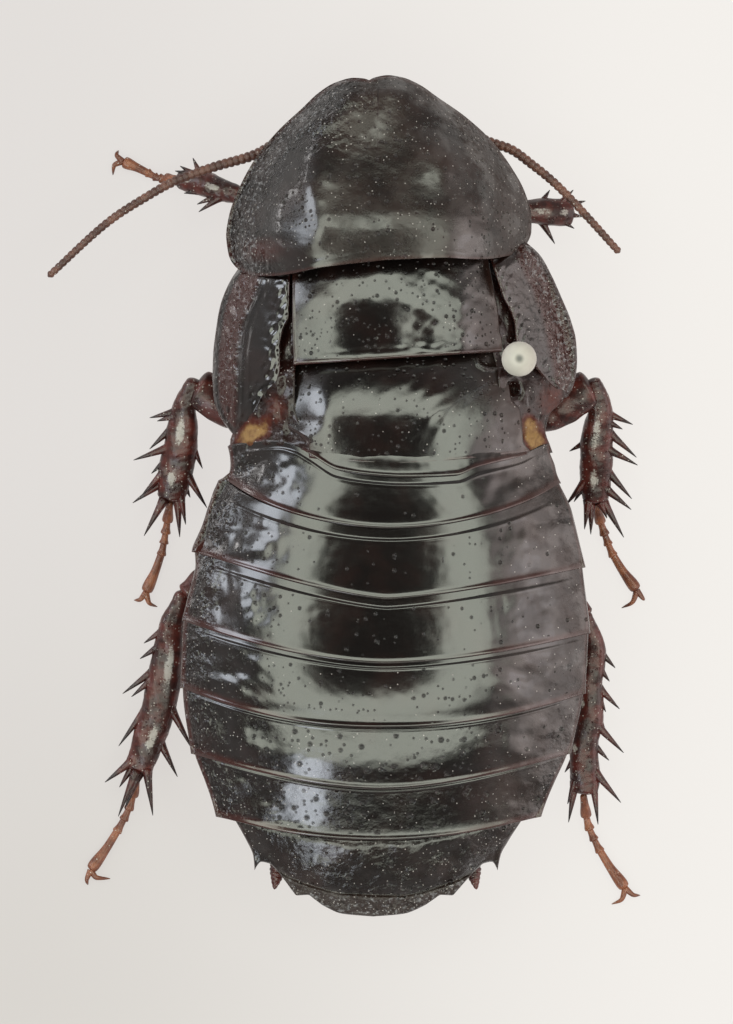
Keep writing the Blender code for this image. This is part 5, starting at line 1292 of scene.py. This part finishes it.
# The pin: a nylon ball, its shaft's end showing on top, over a shaft through the body to the floor.
def addPin():
    x, y = pin["place"]
    ball = Shape()
    size = pin["headRadius"]

    # a shallow dimple on top, where the shaft's end shows
    def dimple(unit):
        aside = np.hypot(unit[..., :1], unit[..., 1:2])
        return unit * (1 - 0.05 * hump(aside, 0.20) * (unit[..., 2:] > 0))

    def shaftEnd(unit):
        aside = np.hypot(unit[..., 0], unit[..., 1])
        return ease(pin["spotEdge"], pin["spotCore"], aside) * (unit[..., 2] > 0)

    def onPin(points):
        return points + (x, y, pin["headHeight"])

    addBall(ball, (size, size, size * 0.97), onPin, dimple, 60, 64, spot=shaftEnd)
    ball.build("pinBall", nylon, "white_nylon", "pin_head")
    shaft = Shape()
    top = pin["shaftTop"]
    height = np.concatenate([[0.0, 0.02], np.linspace(0.2, top - 0.1, 30), [top - 0.05, top]])[:, None]
    turn = 2 * np.pi * np.arange(28) / 28
    radius = pin["shaftRadius"] * readCurve(((0.0, 0.9), (0.05, 1.0), (top - 0.1, 1.0), (top, 0.9)), height)
    rings = np.stack([x + radius * np.cos(turn), y + radius * np.sin(turn), height + 0 * turn], -1)
    shaft.add(rings, (x, y, 0.0), (x, y, top), spot=0.0)
    shaft.build("pinShaft", steel, "pin_steel", "pin_shaft", "pin_point")


addPin()

# Camera: straight down, as the photograph looks, framed for a picture of 733 by 1024.
camera = {"over": (-0.66, -0.536), "height": 354.0, "lens": 344.5, "sensor": 36.0}
lens = bpy.data.cameras.new("viewCamera")
lens.lens = camera["lens"]
lens.sensor_width = camera["sensor"]
lens.clip_start, lens.clip_end = 0.01, 20.0
eye = bpy.data.objects.new("viewCamera", lens)
eye.location = (np.array([*camera["over"], camera["height"]]) + shift) * mm
bpy.context.scene.collection.objects.link(eye)
bpy.context.scene.camera = eye

# Floor and light: a pale floor that glows a little, so that shadows stay faint, and a sky with a
# soft ring of lamplight about the lens, two bluish windows to the left and a dim glow to the right.
studio = {"floorSize": 4.0, "paper": (0.060, 0.060, 0.060), "glowLeft": (0.672, 0.640, 0.622),
          "glowRight": (0.812, 0.782, 0.752), "glowLow": (0.585, 0.556, 0.522),
          "lamp": 3.9, "even": 0.40, "sparks": 9.0, "oval": 1.5, "lean": 0.096,
          # where the ring and the strips begin, are full, fade and end
          "ring": (0.385, 0.485, 0.86, 1.08), "strip": (0.04, 0.07, 0.19, 0.22),
          # colour, direction, degrees from it where the light begins and where it is full, brightness
          "spots": (((0.86, 0.92, 1.0), (-0.796, 0.291, 0.531), 12.0, 7.0, 6.5),
                    ((0.86, 0.92, 1.0), (-0.36, -0.58, 0.73), 9.0, 6.0, 7.8),
                    ((1.0, 0.87, 0.83), (0.93, -0.05, 0.37), 32.0, 14.0, 2.0),
                    ((0.88, 0.90, 1.0), (0.866, -0.03, 0.50), 9.0, 5.0, 1.0))}


def addFloor():
    size = studio["floorSize"]
    mesh = bpy.data.meshes.new("floor")
    corners = [(-size, -size, 0), (size, -size, 0), (size, size, 0), (-size, size, 0)]
    mesh.from_pydata(corners, [], [(0, 1, 2, 3)])
    material, kit, shader = newMaterial("floorPaper", {"Roughness": 0.9, "Specular IOR Level": 0.1,
                                                       "Base Color": (*studio["paper"], 1.0),
                                                       "Emission Strength": 1.0})
    mesh.materials.append(material)
    place = kit.node("ShaderNodeSeparateXYZ", Vector=kit.where())
    low = kit.ease(kit.out(place, "Y"), 0.004, -0.020)
    glow = kit.mix(low * 0.8, studio["glowLeft"], studio["glowLow"])
    glow = kit.mix(kit.ease(kit.out(place, "X"), -0.014, 0.016), glow, studio["glowRight"])
    link(kit, shader, Emission_Color=glow)
    floor = bpy.data.objects.new("floor", mesh)
    bpy.context.scene.collection.objects.link(floor)


# The sky's brightness by direction: an oval ring of lamplight about a line leaning a little to the
# left, the spots (two bluish windows, a warm haze to the right and a cool patch in it), an even light
# outside the ring, and two broken strips near the horizon that only steep places mirror.
def addSky():
    world = bpy.data.worlds.new("studioSky")
    bpy.context.scene.world = world
    world.use_nodes = True
    kit = Kit(world.node_tree)
    world.node_tree.nodes.clear()
    way = kit.out(kit.node("ShaderNodeTexCoord"), "Generated")
    parts = kit.node("ShaderNodeSeparateXYZ", Vector=way)
    x, y, z = (kit.out(parts, axis) for axis in "XYZ")

    def tiltFrom(east, north, up):
        return kit.maths("ARCCOSINE", x * east + y * north + z * up) * (180 / math.pi)

    tilt = tiltFrom(-studio["lean"], 0.0, 0.995)
    up = kit.maths("MAXIMUM", z, 0.05)
    oval = ((x / up + studio["lean"]) ** 2.0 + (y / up * studio["oval"]) ** 2.0) ** 0.5
    begins, full, fades, ends = studio["ring"]
    ring = kit.ease(oval, begins, full) * kit.ease(oval, ends, fades)
    begins, full, fades, ends = studio["strip"]
    strip = kit.ease(z, begins, full) * kit.ease(z, ends, fades)
    noise = kit.node("ShaderNodeTexNoise", {"noise_dimensions": "3D"}, Vector=way, Scale=11.0, Detail=1.0)
    broken = kit.out(noise, 0)
    sides = kit.ease(x * -0.75 + y * 0.66, 0.70, 0.95) + kit.ease(x * 0.80 - y * 0.60, 0.80, 0.95) * 0.5
    sparks = strip * sides * kit.ease(broken, 0.50, 0.58)
    lights = [((0.95, 1.0, 0.86), ring * studio["lamp"]),
              ((1.0, 0.98, 0.97), sparks * studio["sparks"]),
              ((1.0, 0.94, 0.91), kit.ease(tilt, 40.0, 62.0) * studio["even"] + 0.04)]
    for colour, direction, begins, full, bright in studio["spots"]:
        lights.append((colour, kit.ease(tiltFrom(*direction), begins, full) * bright))
    total = None
    for colour, strength in lights:
        light = kit.out(kit.node("ShaderNodeBackground", Color=(*colour, 1.0), Strength=strength))
        total = kit.out(kit.node("ShaderNodeAddShader", n0=total, n1=light)) if total else light
    kit.node("ShaderNodeOutputWorld", Surface=total)


addFloor()
addSky()
bpy.context.scene.view_settings.view_transform = "Standard"
bpy.context.view_layer.update()
